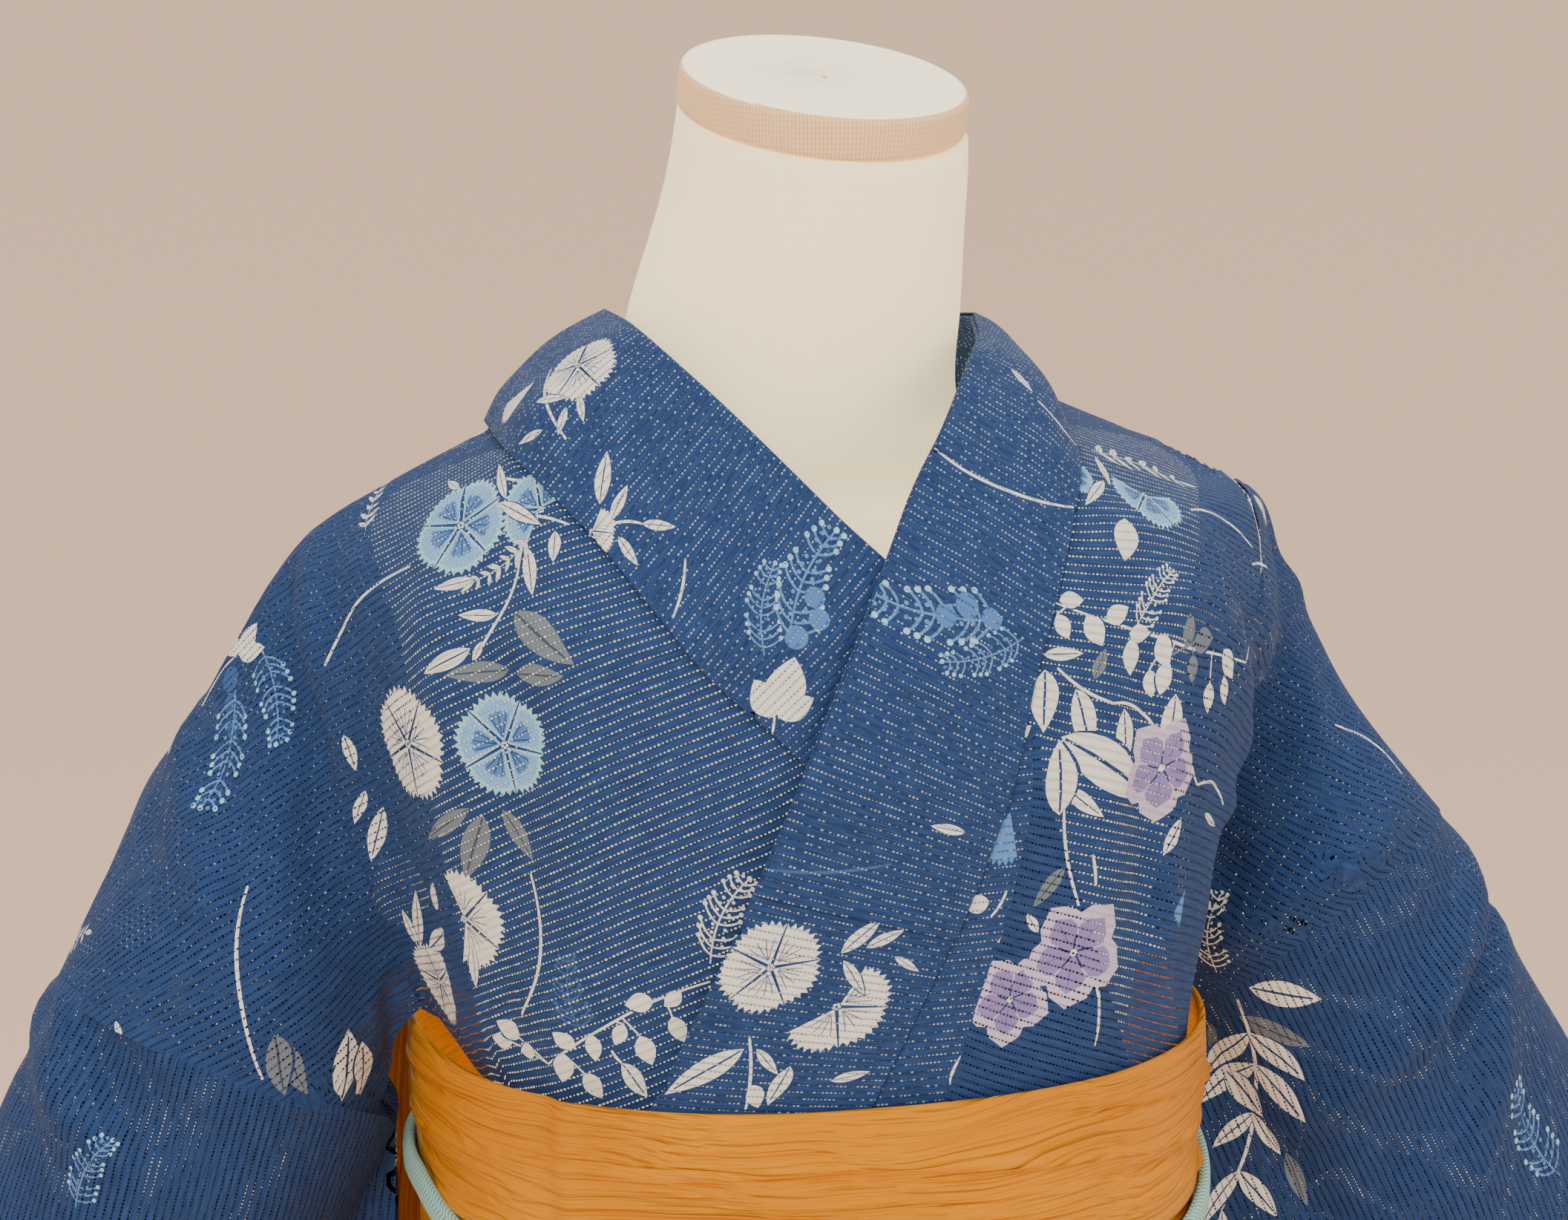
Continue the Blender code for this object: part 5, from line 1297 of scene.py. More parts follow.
# The same kind of crease where the photo doesn't look: start and end as shares along and across the
# grid, width, depth
HIDDEN_CREASES = {
    "body_right": (
        (0.58, 0.60, 0.93, 0.30, 0.012, -0.0040), (0.60, 0.42, 0.96, 0.16, 0.011, 0.0030),
        (0.64, 0.80, 0.88, 0.66, 0.010, -0.0036), (0.80, 0.22, 1.00, 0.12, 0.006, 0.0024),
        (0.82, 0.44, 1.00, 0.34, 0.007, -0.0026),
    ),
    "body_left": (
        (0.57, 0.56, 0.94, 0.34, 0.012, -0.0042), (0.62, 0.38, 0.95, 0.20, 0.013, 0.0028),
        (0.63, 0.84, 0.86, 0.70, 0.009, -0.0034), (0.84, 0.28, 1.00, 0.20, 0.006, 0.0026),
    ),
    "sleeve_left": (
        (0.62, 0.30, 0.98, 0.22, 0.013, 0.0046), (0.60, 0.62, 0.99, 0.56, 0.014, -0.0048),
        (0.70, 0.84, 0.97, 0.80, 0.011, 0.0036), (0.04, 0.34, 0.24, 0.30, 0.010, 0.0034),
    ),
    "sleeve_right": (
        (0.61, 0.34, 0.98, 0.28, 0.014, -0.0046), (0.63, 0.66, 0.97, 0.62, 0.012, 0.0044),
        (0.68, 0.14, 0.96, 0.10, 0.009, 0.0030), (0.03, 0.30, 0.22, 0.36, 0.010, -0.0034),
    ),
    "skirt_back_right": (
        (0.30, 0.36, 1.0, 0.50, 0.012, -0.0034), (0.12, 0.70, 0.72, 0.64, 0.015, 0.0030),
    ),
    "skirt_back_left": (
        (0.22, 0.28, 0.94, 0.40, 0.013, 0.0032), (0.40, 0.66, 1.0, 0.60, 0.011, -0.0034),
    ),
    "skirt_front_left_over": (
        (0.25, 0.70, 0.96, 0.62, 0.013, 0.0034), (0.45, 0.36, 1.0, 0.44, 0.012, -0.0030),
    ),
    "skirt_okumi_left_over": (
        (0.30, 0.55, 0.9, 0.60, 0.011, -0.0026),
    ),
    "skirt_front_right_under": (
        (0.35, 0.24, 1.0, 0.30, 0.013, 0.0032), (0.20, 0.46, 0.86, 0.42, 0.012, -0.0030),
    ),
}
HIDDEN_BEND = 0.04
SEAM_KEEP = 0.010  # creases fade out this near to a seam


def edge_shares(cloth):
    """How far each grid point is from the piece's long edges, as a fade from 0 to 1."""
    across = np.linalg.norm(np.diff(cloth.grid, axis=1), axis=2)
    run = np.concatenate([np.zeros((cloth.rows, 1)), np.cumsum(across, 1)], 1)
    near = np.minimum(run, run[:, -1:] - run)
    return smooth(near, 0.0, SEAM_KEEP)


def crease(cloth, start, end, bend, width, depth):
    """A soft trough or ridge along a bowed line in the flat pattern, deepest near its middle."""
    line = np.array(arc(tuple(start), tuple(end), bend, 16))
    points = cloth.flat[:, :, None, :]
    one, other = line[:-1], line[1:]
    way = other - one
    share = np.clip(((points - one) * way).sum(-1) / (way**2).sum(-1), 0, 1)
    off = np.linalg.norm(points - (one + way * share[..., None]), axis=-1)
    nearest = off.argmin(-1)
    distance = off.min(-1)
    along = (nearest + np.take_along_axis(share, nearest[..., None], -1)[..., 0]) / len(way)
    taper = np.sin(np.pi * np.clip(0.06 + 0.88 * along, 0, 1)) ** 0.8
    size = width * (0.75 + 0.5 * along)
    profile = np.exp(-((distance / size) ** 2)) - 0.35 * np.exp(-(((distance - 1.9 * size) / size) ** 2))
    return depth * taper * profile


def drape(cloth):
    """Adds the creases of one piece along its surface's normals."""
    move = np.zeros((cloth.rows, cloth.columns))
    for x, y, to_x, to_y, width, depth, bend in CREASES.get(cloth.name, ()):
        start = cloth.locate(x, y)["flat"]
        end = cloth.locate(to_x, to_y)["flat"]
        move += crease(cloth, start, end, bend, width, depth)
    for row, column, to_row, to_column, width, depth in HIDDEN_CREASES.get(cloth.name, ()):
        i, j = int(row * (cloth.rows - 1)), int(column * (cloth.columns - 1))
        k, m = int(to_row * (cloth.rows - 1)), int(to_column * (cloth.columns - 1))
        move += crease(cloth, cloth.flat[i, j], cloth.flat[k, m], HIDDEN_BEND, width, depth)
    cloth.grid = cloth.grid + cloth.normals * (move * edge_shares(cloth))[..., None]
    cloth.normals = cloth.grid_normals()
    return cloth


def grow_edge(grid, side, steps):
    """Adds columns beyond one edge (side 0 or -1): each step is (further out, further under)."""
    normal = -grid_normal(grid)
    edge = grid[:, side]
    inner = grid[:, 1] if side == 0 else grid[:, -2]
    out = edge - inner
    out /= np.linalg.norm(out, axis=1)[:, None] + 1e-12
    facing = normal[:, side] * outward_sign(grid, normal)
    new = [edge + out * go - facing * under for go, under in steps]
    new = np.stack(new[::-1] if side == 0 else new, 1)
    return np.concatenate([new, grid], 1) if side == 0 else np.concatenate([grid, new], 1)


def outward_sign(grid, normal):
    """1 where the grid's normals point away from the trunk's axis, else -1."""
    away = grid.copy()
    away[..., 2] -= 1.02
    return 1.0 if (normal * away).sum() > 0 else -1.0


def relaxed(grid, rounds=3, keep=0.5):
    """Evens out the rows of a grid without moving its edges."""
    grid = grid.copy()
    for _ in range(rounds):
        middle = (grid[2:, 1:-1] + grid[:-2, 1:-1] + grid[1:-1, 2:] + grid[1:-1, :-2]) / 4
        grid[1:-1, 1:-1] += keep * (middle - grid[1:-1, 1:-1])
    return grid


# Pieces

# How the weft runs on the front: a place on the photo and its slope there in degrees
WEFT_SEEN = {"right": {"x": 600, "y": 1000, "slope": 27}, "left": {"x": 1400, "y": 900, "slope": -12}}
UNDER_SEAM = ((0.0020, 0.0010), (0.0045, 0.0020))  # cloth turned in under the next piece
SLEEVE_TUCK = ((0.0020, 0.0009), (0.0060, 0.0022))  # the sleeve's sewn edge, drawn in under the panel
HEM_TURN = ((0.0004, 0.0004), (0.0004, 0.0011), (-0.0070, 0.0013))


def body_cloth(side):
    grid = grow_edge(relaxed(body_grid(side)), 0, UNDER_SEAM)
    return drape(Cloth(f"body_{side}", grid, WEFT_SEEN[side]))


def okumi_cloth(side):
    grid = grow_edge(grow_edge(okumi_grid(side), 0, UNDER_SEAM), -1, UNDER_SEAM)
    return Cloth(f"okumi_{side}", grid, {"row": 0.1, "column": 0.5})


def folded_over(strip, thick):
    """The strip's outer face, round its free edge, and back along its inner face."""
    normal = grid_normal(strip)
    normal *= 1.0 if normal[4, 2] @ np.array([0, -1.0, 0]) > 0 else -1.0
    half = thick / 2
    outer = strip + normal * half
    edge_way = unit(strip[:, -1] - strip[:, -2])
    turn = []
    for angle in (30, 60, 90, 120, 150):
        a = math.radians(angle)
        turn.append(strip[:, -1] + normal[:, -1] * half * math.cos(a) + edge_way * half * math.sin(a))
    inner = (strip - normal * half)[:, ::-1][:, ::3]
    return np.concatenate([outer, np.stack(turn, 1), inner], 1)


def collar_cloth():
    strip = folded_over(collar_strip(), COLLAR_WALL)
    return Cloth("collar", strip, {"ruled": True, "row": 0.2, "column": 0.2})


def over_collar_cloth():
    strip = over_collar(collar_strip()[OVER_END_ROWS:-OVER_END_ROWS])
    strip = grow_edge_plain(strip, 0, HEM_TURN)
    strip = grow_edge_plain(strip, -1, HEM_TURN)
    return drape(Cloth("over_collar", strip, {"ruled": True, "row": 0.2, "column": 0.3}))


def grow_edge_plain(strip, side, steps):
    """grow_edge for the collar, whose front faces -Y at its ends."""
    normal = grid_normal(strip)
    normal *= 1.0 if normal[4, 4] @ np.array([0, -1.0, 0]) > 0 else -1.0
    edge = strip[:, side]
    out = unit(edge - (strip[:, 1] if side == 0 else strip[:, -2]))
    new = [edge + out * go - normal[:, side] * under for go, under in steps]
    new = np.stack(new[::-1] if side == 0 else new, 1)
    return np.concatenate([new, strip], 1) if side == 0 else np.concatenate([strip, new], 1)


def sleeve_cloth(side):
    """The sleeve as one length, from the bag's lower edge in front over the top to its back."""
    half = np.linspace(0, SLEEVE_DROP, SLEEVE_ROWS)
    down = np.concatenate([np.linspace(SLEEVE_DROP, 0, SLEEVE_ROWS), half[1:]])
    front = [True] * SLEEVE_ROWS + [False] * (SLEEVE_ROWS - 1)
    rows = []
    away = arm_direction(side)
    for drop, ahead in zip(down, front):
        row = []
        for k in range(SLEEVE_SPANS + 1):
            share = k / SLEEVE_SPANS
            spot = sleeve_point(side, SLEEVE_WIDTH * share, float(drop), ahead)
            room = GAP + UNDERARM_GAP * float(smooth(drop, 0.12, ARMHOLE))
            row.append(spot + away * (1 - share) ** 6 * room)
        rows.append(row)
    grid = relaxed(np.array(rows), 2)
    across = unit(grid[:, 1] - grid[:, 0])
    inside = grid[::-1, 0] - grid[:, 0]
    inside[:, 2] -= 0.02
    inside = unit(inside)
    sewn = (1 - smooth(down, ARMHOLE - 0.03, ARMHOLE))[:, None]
    tucked = [grid[:, 0] - across * (0.0003 + go * sewn) + inside * under * sewn for go, under in SLEEVE_TUCK]
    grid = np.concatenate([np.stack(tucked[::-1], 1), grid], 1)
    return drape(Cloth(f"sleeve_{side}", grid, {"row": 0.5, "column": 0.4}))


def skirt_cloth(name, start, end, over):
    steps = max(12, int(abs(end - start) / 1.6))
    angles = np.radians(np.linspace(start, end, steps + 1))
    heights = np.linspace(HEM, SKIRT_TOP, SKIRT_ROWS + 1)
    grid = np.array([[skirt_point(a, z, over) for a in angles] for z in heights])
    return drape(Cloth(name, grid, {"row": 0.5, "column": 0.4}))


def fold_cloth():
    """The waist fold, its lower edge rounded, all round the trunk."""
    profile = ((0.900, -0.0056), (0.886, -0.0054), (0.872, -0.0050), (0.860, -0.0020), (0.850, 0.0010),
               (0.838, 0.0036), (0.825, 0.0054), (FOLD_BOTTOM + 0.012, 0.0065), (FOLD_BOTTOM + 0.005, 0.0062),
               (FOLD_BOTTOM + 0.001, 0.0052), (FOLD_BOTTOM, 0.0035), (FOLD_BOTTOM + 0.002, 0.0012),
               (FOLD_BOTTOM + 0.008, -0.0010), (0.820, -0.0032), (0.835, -0.0050))
    turns = np.linspace(0, math.tau, ROUND_STEPS + 1) + math.pi
    wide, deep = obi_size(OBI_BOTTOM)
    rows = []
    for z, out in profile:
        below = float(smooth(z, 0.87, 0.81))
        ripple = below * (0.0012 * np.cos(9 * turns) + 0.0011 * np.cos(23 * turns + 0.8) * np.cos(2 * turns))
        x, y = ellipse(wide + out + ripple, deep + out + ripple, turns, 2.2)
        rows.append(np.stack([x, y, np.full(ROUND_STEPS + 1, z)], -1))
    wrapped = (turns + math.pi) % math.tau - math.pi
    rows.append(np.array([skirt_point(a, FOLD_INNER, True, FOLD_CLEAR) for a in wrapped]))
    return Cloth("waist_fold", np.array(rows)[::-1], {"ruled": True, "row": 0.5, "column": 0.3})


def tube_mesh(name, grid, finish, closed_rows=False, closed_columns=False):
    """A mesh from a grid of points, with its own map in metres."""
    rows, columns = grid.shape[:2]
    faces = []
    corners = []
    for i in range(rows if closed_rows else rows - 1):
        for j in range(columns if closed_columns else columns - 1):
            k, m = (i + 1) % rows, (j + 1) % columns
            faces.append((i * columns + j, i * columns + m, k * columns + m, k * columns + j))
            corners.append(((i, j), (i, j + 1), (i + 1, j + 1), (i + 1, j)))
    mesh = bpy.data.meshes.new(name)
    mesh.from_pydata([Vector(p) for p in grid.reshape(-1, 3)], [], faces)
    across = np.linalg.norm(np.diff(grid, axis=1, append=grid[:, :1]), axis=2)
    along = np.linalg.norm(np.diff(grid, axis=0, append=grid[:1]), axis=2)
    u = np.concatenate([[0.0], np.cumsum(across.max(0))])
    v = np.concatenate([[0.0], np.cumsum(along.mean(1))])
    layer = mesh.uv_layers.new(name="cloth")
    values = [(u[j], v[i]) for face in corners for i, j in face]
    layer.data.foreach_set("uv", np.array(values).ravel())
    made = bpy.data.objects.new(name, mesh)
    bpy.context.collection.objects.link(made)
    bm = bmesh.new()
    bm.from_mesh(mesh)
    bmesh.ops.recalc_face_normals(bm, faces=bm.faces)
    bm.to_mesh(mesh)
    bm.free()
    mesh.shade_smooth()
    mesh.materials.append(finish)
    return made


# Materials


class Shade:
    """A material's node tree with short calls to add to it."""

    def __init__(self, name, colour=(0.8, 0.8, 0.8), roughness=0.8):
        self.material = bpy.data.materials.new(name)
        self.material.use_nodes = True
        self.tree = self.material.node_tree
        self.shader = self.tree.nodes["Principled BSDF"]
        self.put("Base Color", (*colour, 1.0))
        self.put("Roughness", roughness)

    def put(self, socket, value):
        self.shader.inputs[socket].default_value = value

    def node(self, kind, **values):
        made = self.tree.nodes.new(kind)
        for name, value in values.items():
            setattr(made, name, value)
        return made

    def fill(self, target, value):
        if isinstance(value, bpy.types.NodeSocket):
            self.tree.links.new(value, target)
        else:
            target.default_value = value

    def math(self, operation, one, two=0.0, three=0.0, clamp=False):
        made = self.node("ShaderNodeMath", operation=operation, use_clamp=clamp)
        for k, value in enumerate((one, two, three)):
            self.fill(made.inputs[k], value)
        return made.outputs[0]

    def times(self, one, two):
        return self.math("MULTIPLY", one, two)

    def plus(self, one, two):
        return self.math("ADD", one, two)

    def minus(self, one, two):
        return self.math("SUBTRACT", one, two)

    def over(self, one, two):
        return self.math("DIVIDE", one, two)

    def eased(self, value, low, high, to_low=0.0, to_high=1.0):
        made = self.node("ShaderNodeMapRange", interpolation_type="SMOOTHSTEP")
        names = ("Value", "From Min", "From Max", "To Min", "To Max")
        for name, x in zip(names, (value, low, high, to_low, to_high)):
            self.fill(made.inputs[name], x)
        return made.outputs["Result"]

    def stretched(self, vector, scale):
        made = self.node("ShaderNodeMapping")
        self.fill(made.inputs["Vector"], vector)
        made.inputs["Scale"].default_value = scale
        return made.outputs[0]

    def noise(self, vector, scale, detail=2.0, roughness=0.5):
        made = self.node("ShaderNodeTexNoise")
        self.fill(made.inputs["Vector"], vector)
        made.inputs["Scale"].default_value = scale
        made.inputs["Detail"].default_value = detail
        made.inputs["Roughness"].default_value = roughness
        return made.outputs["Fac"]

    def uv(self):
        return self.node("ShaderNodeUVMap", uv_map="cloth").outputs[0]

    def place(self):
        return self.node("ShaderNodeTexCoord").outputs["Object"]

    def split(self, vector):
        made = self.node("ShaderNodeSeparateXYZ")
        self.fill(made.inputs[0], vector)
        return made.outputs[0], made.outputs[1], made.outputs[2]

    def join(self, x, y, z=0.0):
        made = self.node("ShaderNodeCombineXYZ")
        for k, value in enumerate((x, y, z)):
            self.fill(made.inputs[k], value)
        return made.outputs[0]

    def mixed(self, share, one, two, blend="MIX"):
        made = self.node("ShaderNodeMix", data_type="RGBA", blend_type=blend)
        self.fill(made.inputs["Factor"], share)
        for name, value in (("A", one), ("B", two)):
            socket = next(s for s in made.inputs if s.name == name and s.type == "RGBA")
            self.fill(socket, value if isinstance(value, bpy.types.NodeSocket) else (*value, 1.0))
        return next(s for s in made.outputs if s.type == "RGBA")

    def colour(self, value):
        self.tree.links.new(value, self.shader.inputs["Base Color"])

    def bump(self, height, distance, strength=1.0):
        made = self.node("ShaderNodeBump")
        made.inputs["Strength"].default_value = strength
        made.inputs["Distance"].default_value = distance
        self.tree.links.new(height, made.inputs["Height"])
        self.tree.links.new(made.outputs[0], self.shader.inputs["Normal"])


ROW_PITCH = 0.0030  # between the rows of open holes in the weave
HOLE_PITCH = 0.00155
HOLE_WIDE = 0.00046  # half sizes of a hole
HOLE_TALL = 0.00031
NAVY = (0.0120, 0.0370, 0.1300)
PAINTED_HOLE_SHADE = (0.010, 0.022, 0.055)  # painted shade in a hole where cloth lies on cloth
# painted light coming through a hole where cloth lies on cloth
PAINTED_HOLE_LIGHT = (0.330, 0.350, 0.370)
NAVY_WORN = (0.0300, 0.0730, 0.2150)


def cotton_material(name, open_weave):
    """Openwork cotton: plain bands between rows of small holes, with slubs along the weft; without open_weave
    the holes are filled with painted light and painted shade.
    """
    made = Shade(name, NAVY, 0.86)
    u, v, _ = made.split(made.uv())
    wander = made.noise(made.join(made.times(u, 30.0), made.times(v, 60.0)), 1.0, 2.0)
    v_off = made.plus(v, made.times(made.minus(wander, 0.5), 0.0009))
    row = made.over(v_off, ROW_PITCH)
    row_number = made.math("FLOOR", row)
    shift = made.times(made.math("FRACT", made.times(row_number, 0.5)), 1.0)
    column = made.plus(made.over(u, HOLE_PITCH), shift)
    in_row = made.minus(made.math("FRACT", row), 0.5)
    in_column = made.minus(made.math("FRACT", column), 0.5)
    cell = made.join(made.math("FLOOR", column), row_number)
    ragged = made.node("ShaderNodeTexWhiteNoise", noise_dimensions="2D")
    made.fill(ragged.inputs["Vector"], cell)
    size = made.plus(0.62, made.times(ragged.outputs["Value"], 0.62))
    far_u = made.over(made.times(in_column, HOLE_PITCH), HOLE_WIDE)
    far_v = made.over(made.times(in_row, ROW_PITCH), HOLE_TALL)
    far = made.plus(made.times(far_u, far_u), made.times(far_v, far_v))
    far = made.over(far, made.times(size, size))
    solid = made.eased(far, 0.75, 1.15)
    slub = made.noise(made.join(made.times(u, 90.0), made.times(v, 1500.0)), 1.0, 3.0, 0.6)
    warp = made.noise(made.join(made.times(u, 2400.0), made.times(v, 160.0)), 1.0, 2.0, 0.5)
    mottle = made.noise(made.stretched(made.uv(), (60.0, 60.0, 1.0)), 1.0, 3.0, 0.55)
    near_row = made.eased(made.math("ABSOLUTE", in_row), 0.04, 0.26)
    printed = made.node("ShaderNodeAttribute", attribute_name="print")
    cloth = made.mixed(made.eased(slub, 0.32, 0.72, 0.0, 0.75), NAVY, NAVY_WORN)
    inked = made.mixed(printed.outputs["Alpha"], cloth, printed.outputs["Color"])
    tone = made.plus(0.80, made.times(mottle, 0.22))
    tone = made.plus(tone, made.times(made.minus(slub, 0.5), 0.36))
    tone = made.plus(tone, made.times(made.minus(warp, 0.5), 0.16))
    tone = made.times(tone, made.plus(0.80, made.times(near_row, 0.22)))
    shade = made.node("ShaderNodeCombineColor")
    for k in range(3):
        made.fill(shade.inputs[k], tone)
    woven = made.mixed(1.0, inked, shade.outputs[0], "MULTIPLY")
    if open_weave:
        made.tree.links.new(solid, made.shader.inputs["Alpha"])
    else:
        # Painted holes: each takes painted shade or painted light, varying at random, instead of being open
        through = made.plus(made.times(ragged.outputs["Value"], 0.5), made.times(mottle, 0.7))
        behind = made.mixed(made.eased(through, 0.40, 0.72), PAINTED_HOLE_SHADE, PAINTED_HOLE_LIGHT)
        woven = made.mixed(solid, behind, woven)
    made.colour(woven)
    height = made.plus(made.times(near_row, 0.7), made.times(slub, 0.55))
    height = made.plus(height, made.times(warp, 0.22))
    height = made.times(height, made.plus(0.55, made.times(solid, 0.45)))
    made.bump(height, 0.00035, 0.75)
    made.put("Specular IOR Level", 0.25)
    made.put("Sheen Weight", 0.05)
    made.put("Sheen Roughness", 0.5)
    made.put("Sheen Tint", (0.45, 0.60, 0.90, 1.0))
    return made.material


def silk_material():
    """Crinkled golden cloth with a soft sheen."""
    made = Shade("crinkled_obi", (0.62, 0.26, 0.012), 0.40)
    uv = made.uv()
    drift = made.noise(made.stretched(uv, (7.0, 16.0, 1.0)), 1.0, 2.0)
    along, across, _ = made.split(uv)
    bent = made.join(made.plus(made.times(along, 11.0), made.times(drift, 3.0)),
                     made.plus(made.times(across, 170.0), made.times(drift, 5.0)))
    folds = made.noise(bent, 1.0, 2.0, 0.45)
    peak = made.math("MULTIPLY_ADD", folds, 9.0, -4.5)
    sharp = made.math("SUBTRACT", 1.0, made.math("ABSOLUTE", peak), clamp=True)
    small = made.noise(made.stretched(bent, (2.2, 3.1, 1.0)), 1.0, 2.0, 0.5)
    crepe = made.noise(made.stretched(uv, (900.0, 1500.0, 1.0)), 1.0, 2.0, 0.6)
    made.colour(made.mixed(made.eased(drift, 0.3, 0.7), (0.60, 0.200, 0.0), (0.70, 0.250, 0.0)))
    height = made.plus(made.times(sharp, 0.30), made.times(small, 0.60))
    height = made.plus(height, made.times(crepe, 0.035))
    made.bump(height, 0.0030, 1.0)
    made.put("Specular IOR Level", 0.50)
    made.put("Specular Tint", (1.0, 0.62, 0.16, 1.0))
    made.put("Sheen Weight", 0.03)
    made.put("Sheen Roughness", 0.3)
    made.put("Sheen Tint", (1.0, 0.72, 0.25, 1.0))
    return made.material


def braid_material():
    """A flat braid of two mint tones: the lighter is a painted highlight on each strand's crown, the darker
    painted shade between strands.
    """
    made = Shade("mint_braid", (0.42, 0.68, 0.62), 0.62)
    u, v, _ = made.split(made.uv())
    cross = made.math("ABSOLUTE", made.minus(made.math("FRACT", made.over(u, 0.0062)), 0.5))
    lay = made.math("FRACT", made.plus(made.over(v, 0.0026), made.times(cross, 2.4)))
    strand = made.math("SINE", made.times(lay, math.pi))
    grain = made.noise(made.stretched(made.uv(), (2200.0, 700.0, 1.0)), 1.0, 2.0)
    tone = made.plus(made.times(strand, 0.8), made.times(grain, 0.25))
    # Painted highlight and shade: lighter on each strand's crown, darker where it dips between its neighbours
    made.colour(made.mixed(made.eased(tone, 0.25, 0.95), (0.13, 0.38, 0.32), (0.38, 0.70, 0.62)))
    made.bump(tone, 0.0009, 0.8)
    made.put("Sheen Weight", 0.2)
    return made.material


def knit(name, low, high, painted_glow):
    """Fine knitted fabric: upright wales round the piece, with a painted glow: its colour also shines as
    emission, though it is no lamp.
    """
    made = Shade(name, high, 0.9)
    place = made.place()
    x, y, z = made.split(place)
    angle = made.math("ARCTAN2", x, y)
    wobble = made.noise(place, 60.0, 2.0)
    wale = made.math("SINE", made.plus(made.times(angle, 260.0), made.times(wobble, 3.0)))
    course = made.math("SINE", made.times(z, 3200.0))
    rib = made.plus(made.times(wale, 0.5), made.times(course, 0.2))
    colour = made.mixed(made.eased(rib, -0.6, 0.6), low, high)
    made.colour(colour)
    # Painted light: the knit's colour is also given out as emission
    made.tree.links.new(colour, made.shader.inputs["Emission Color"])
    made.put("Emission Strength", painted_glow)
    made.bump(rib, 0.00022, 0.6)
    made.put("Sheen Weight", 0.15)
    return made.material


def metal_material(paint):
    """Powder-coated steel with a fine orange-peel."""
    made = Shade("painted_steel", paint, 0.42)
    peel = made.noise(made.place(), 900.0, 2.0)
    worn = made.noise(made.place(), 9.0, 4.0)
    made.colour(made.mixed(made.eased(worn, 0.3, 0.7), tuple(c * 0.92 for c in paint), paint))
    made.bump(peel, 0.00005, 0.35)
    made.put("Metallic", 0.35)
    return made.material


# Obi, bow, cord and form

FORM_STEPS = 144
OBI_LIP = 0.0012  # height of the rounded edge at its top and bottom
OBI_STEPS = 540
OBI_ROWS = 92


def obi_relief(turns, z):
    """Height of the obi's crinkles over its smooth face."""
    high = np.zeros(np.broadcast(turns, z).shape)
    for angle, middle, slope, half, width, depth in OBI_CRINKLES:
        off = (np.degrees(turns) - angle + 180) % 360 - 180
        line = middle + slope * off * 1e-4
        along = np.exp(-((off / half) ** 4))
        away = (z - line) / width
        profile = 1.5 * np.exp(-2.2 * np.abs(away)) - 0.35 * np.exp(-(((away - 1.6) / 0.9) ** 2))
        high += 1.35 * depth * along * profile
    crease_off = (np.degrees(turns) - OBI_UPRIGHT_FOLD + 180) % 360 - 180
    high += 0.0016 * np.exp(-((crease_off / 2.0) ** 2)) - 0.0010 * np.exp(-(((crease_off + 4.2) / 2.4) ** 2))
    return high


OBI_UPRIGHT_FOLD = -47.0  # degrees round from the front
# Crinkles: middle in degrees round and in z, slope, half length in degrees, width, depth
OBI_CRINKLES = (
    (-88, 1.012, 3.2, 26, 0.0030, -0.0016), (-80, 0.998, 2.6, 30, 0.0034, 0.0014),
    (-92, 0.985, 1.5, 24, 0.0028, -0.0015), (-76, 0.972, 0.8, 28, 0.0036, 0.0013),
    (-84, 0.957, -0.6, 22, 0.0030, -0.0014), (-70, 0.942, -1.4, 30, 0.0034, 0.0012),
    (-60, 1.004, 3.0, 16, 0.0024, -0.0012), (-62, 0.976, 2.0, 14, 0.0022, 0.0010),
    (-30, 1.006, 1.2, 24, 0.0030, 0.0011), (-22, 0.989, 0.6, 30, 0.0026, -0.0012),
    (-10, 0.975, -0.8, 34, 0.0034, 0.0012), (4, 1.002, -1.6, 28, 0.0028, -0.0011),
    (12, 0.985, -2.2, 24, 0.0030, 0.0012), (-2, 0.957, 0.5, 36, 0.0030, -0.0012),
    (30, 0.999, -2.8, 26, 0.0028, 0.0014), (40, 1.014, -3.4, 20, 0.0024, -0.0014),
    (48, 0.988, -1.8, 26, 0.0030, -0.0015), (56, 0.974, -0.9, 24, 0.0028, 0.0014),
    (62, 0.960, 0.4, 28, 0.0032, -0.0014), (70, 1.006, -2.4, 22, 0.0026, 0.0013),
    (84, 0.992, -1.2, 26, 0.0030, -0.0014), (40, 0.940, 1.4, 34, 0.0034, 0.0012),
    (-36, 0.932, -0.8, 30, 0.0036, -0.0012), (10, 0.915, 0.9, 40, 0.0036, 0.0012),
    (110, 1.000, 1.6, 26, 0.0030, 0.0013), (122, 0.976, 0.8, 30, 0.0032, -0.0014),
    (140, 0.952, -0.7, 32, 0.0034, 0.0012), (152, 0.994, 1.9, 20, 0.0026, -0.0013),
    (168, 0.930, -1.1, 30, 0.0030, 0.0012), (-112, 0.996, -1.7, 26, 0.0030, -0.0013),
    (-126, 0.970, -0.6, 30, 0.0032, 0.0013), (-146, 0.944, 1.0, 28, 0.0032, -0.0012),
    (-160, 0.992, -1.5, 22, 0.0026, 0.0012), (90, 0.905, 0.6, 36, 0.0034, -0.0012),
    (-96, 0.910, -0.9, 34, 0.0034, 0.0013),
)


def obi_ring(turns, z, out, height):
    wide, deep = obi_size(z)
    x, y = ellipse(wide + out, deep + out, turns, OBI_POWER)
    return np.stack([x, y, np.full(len(turns), height)], -1)


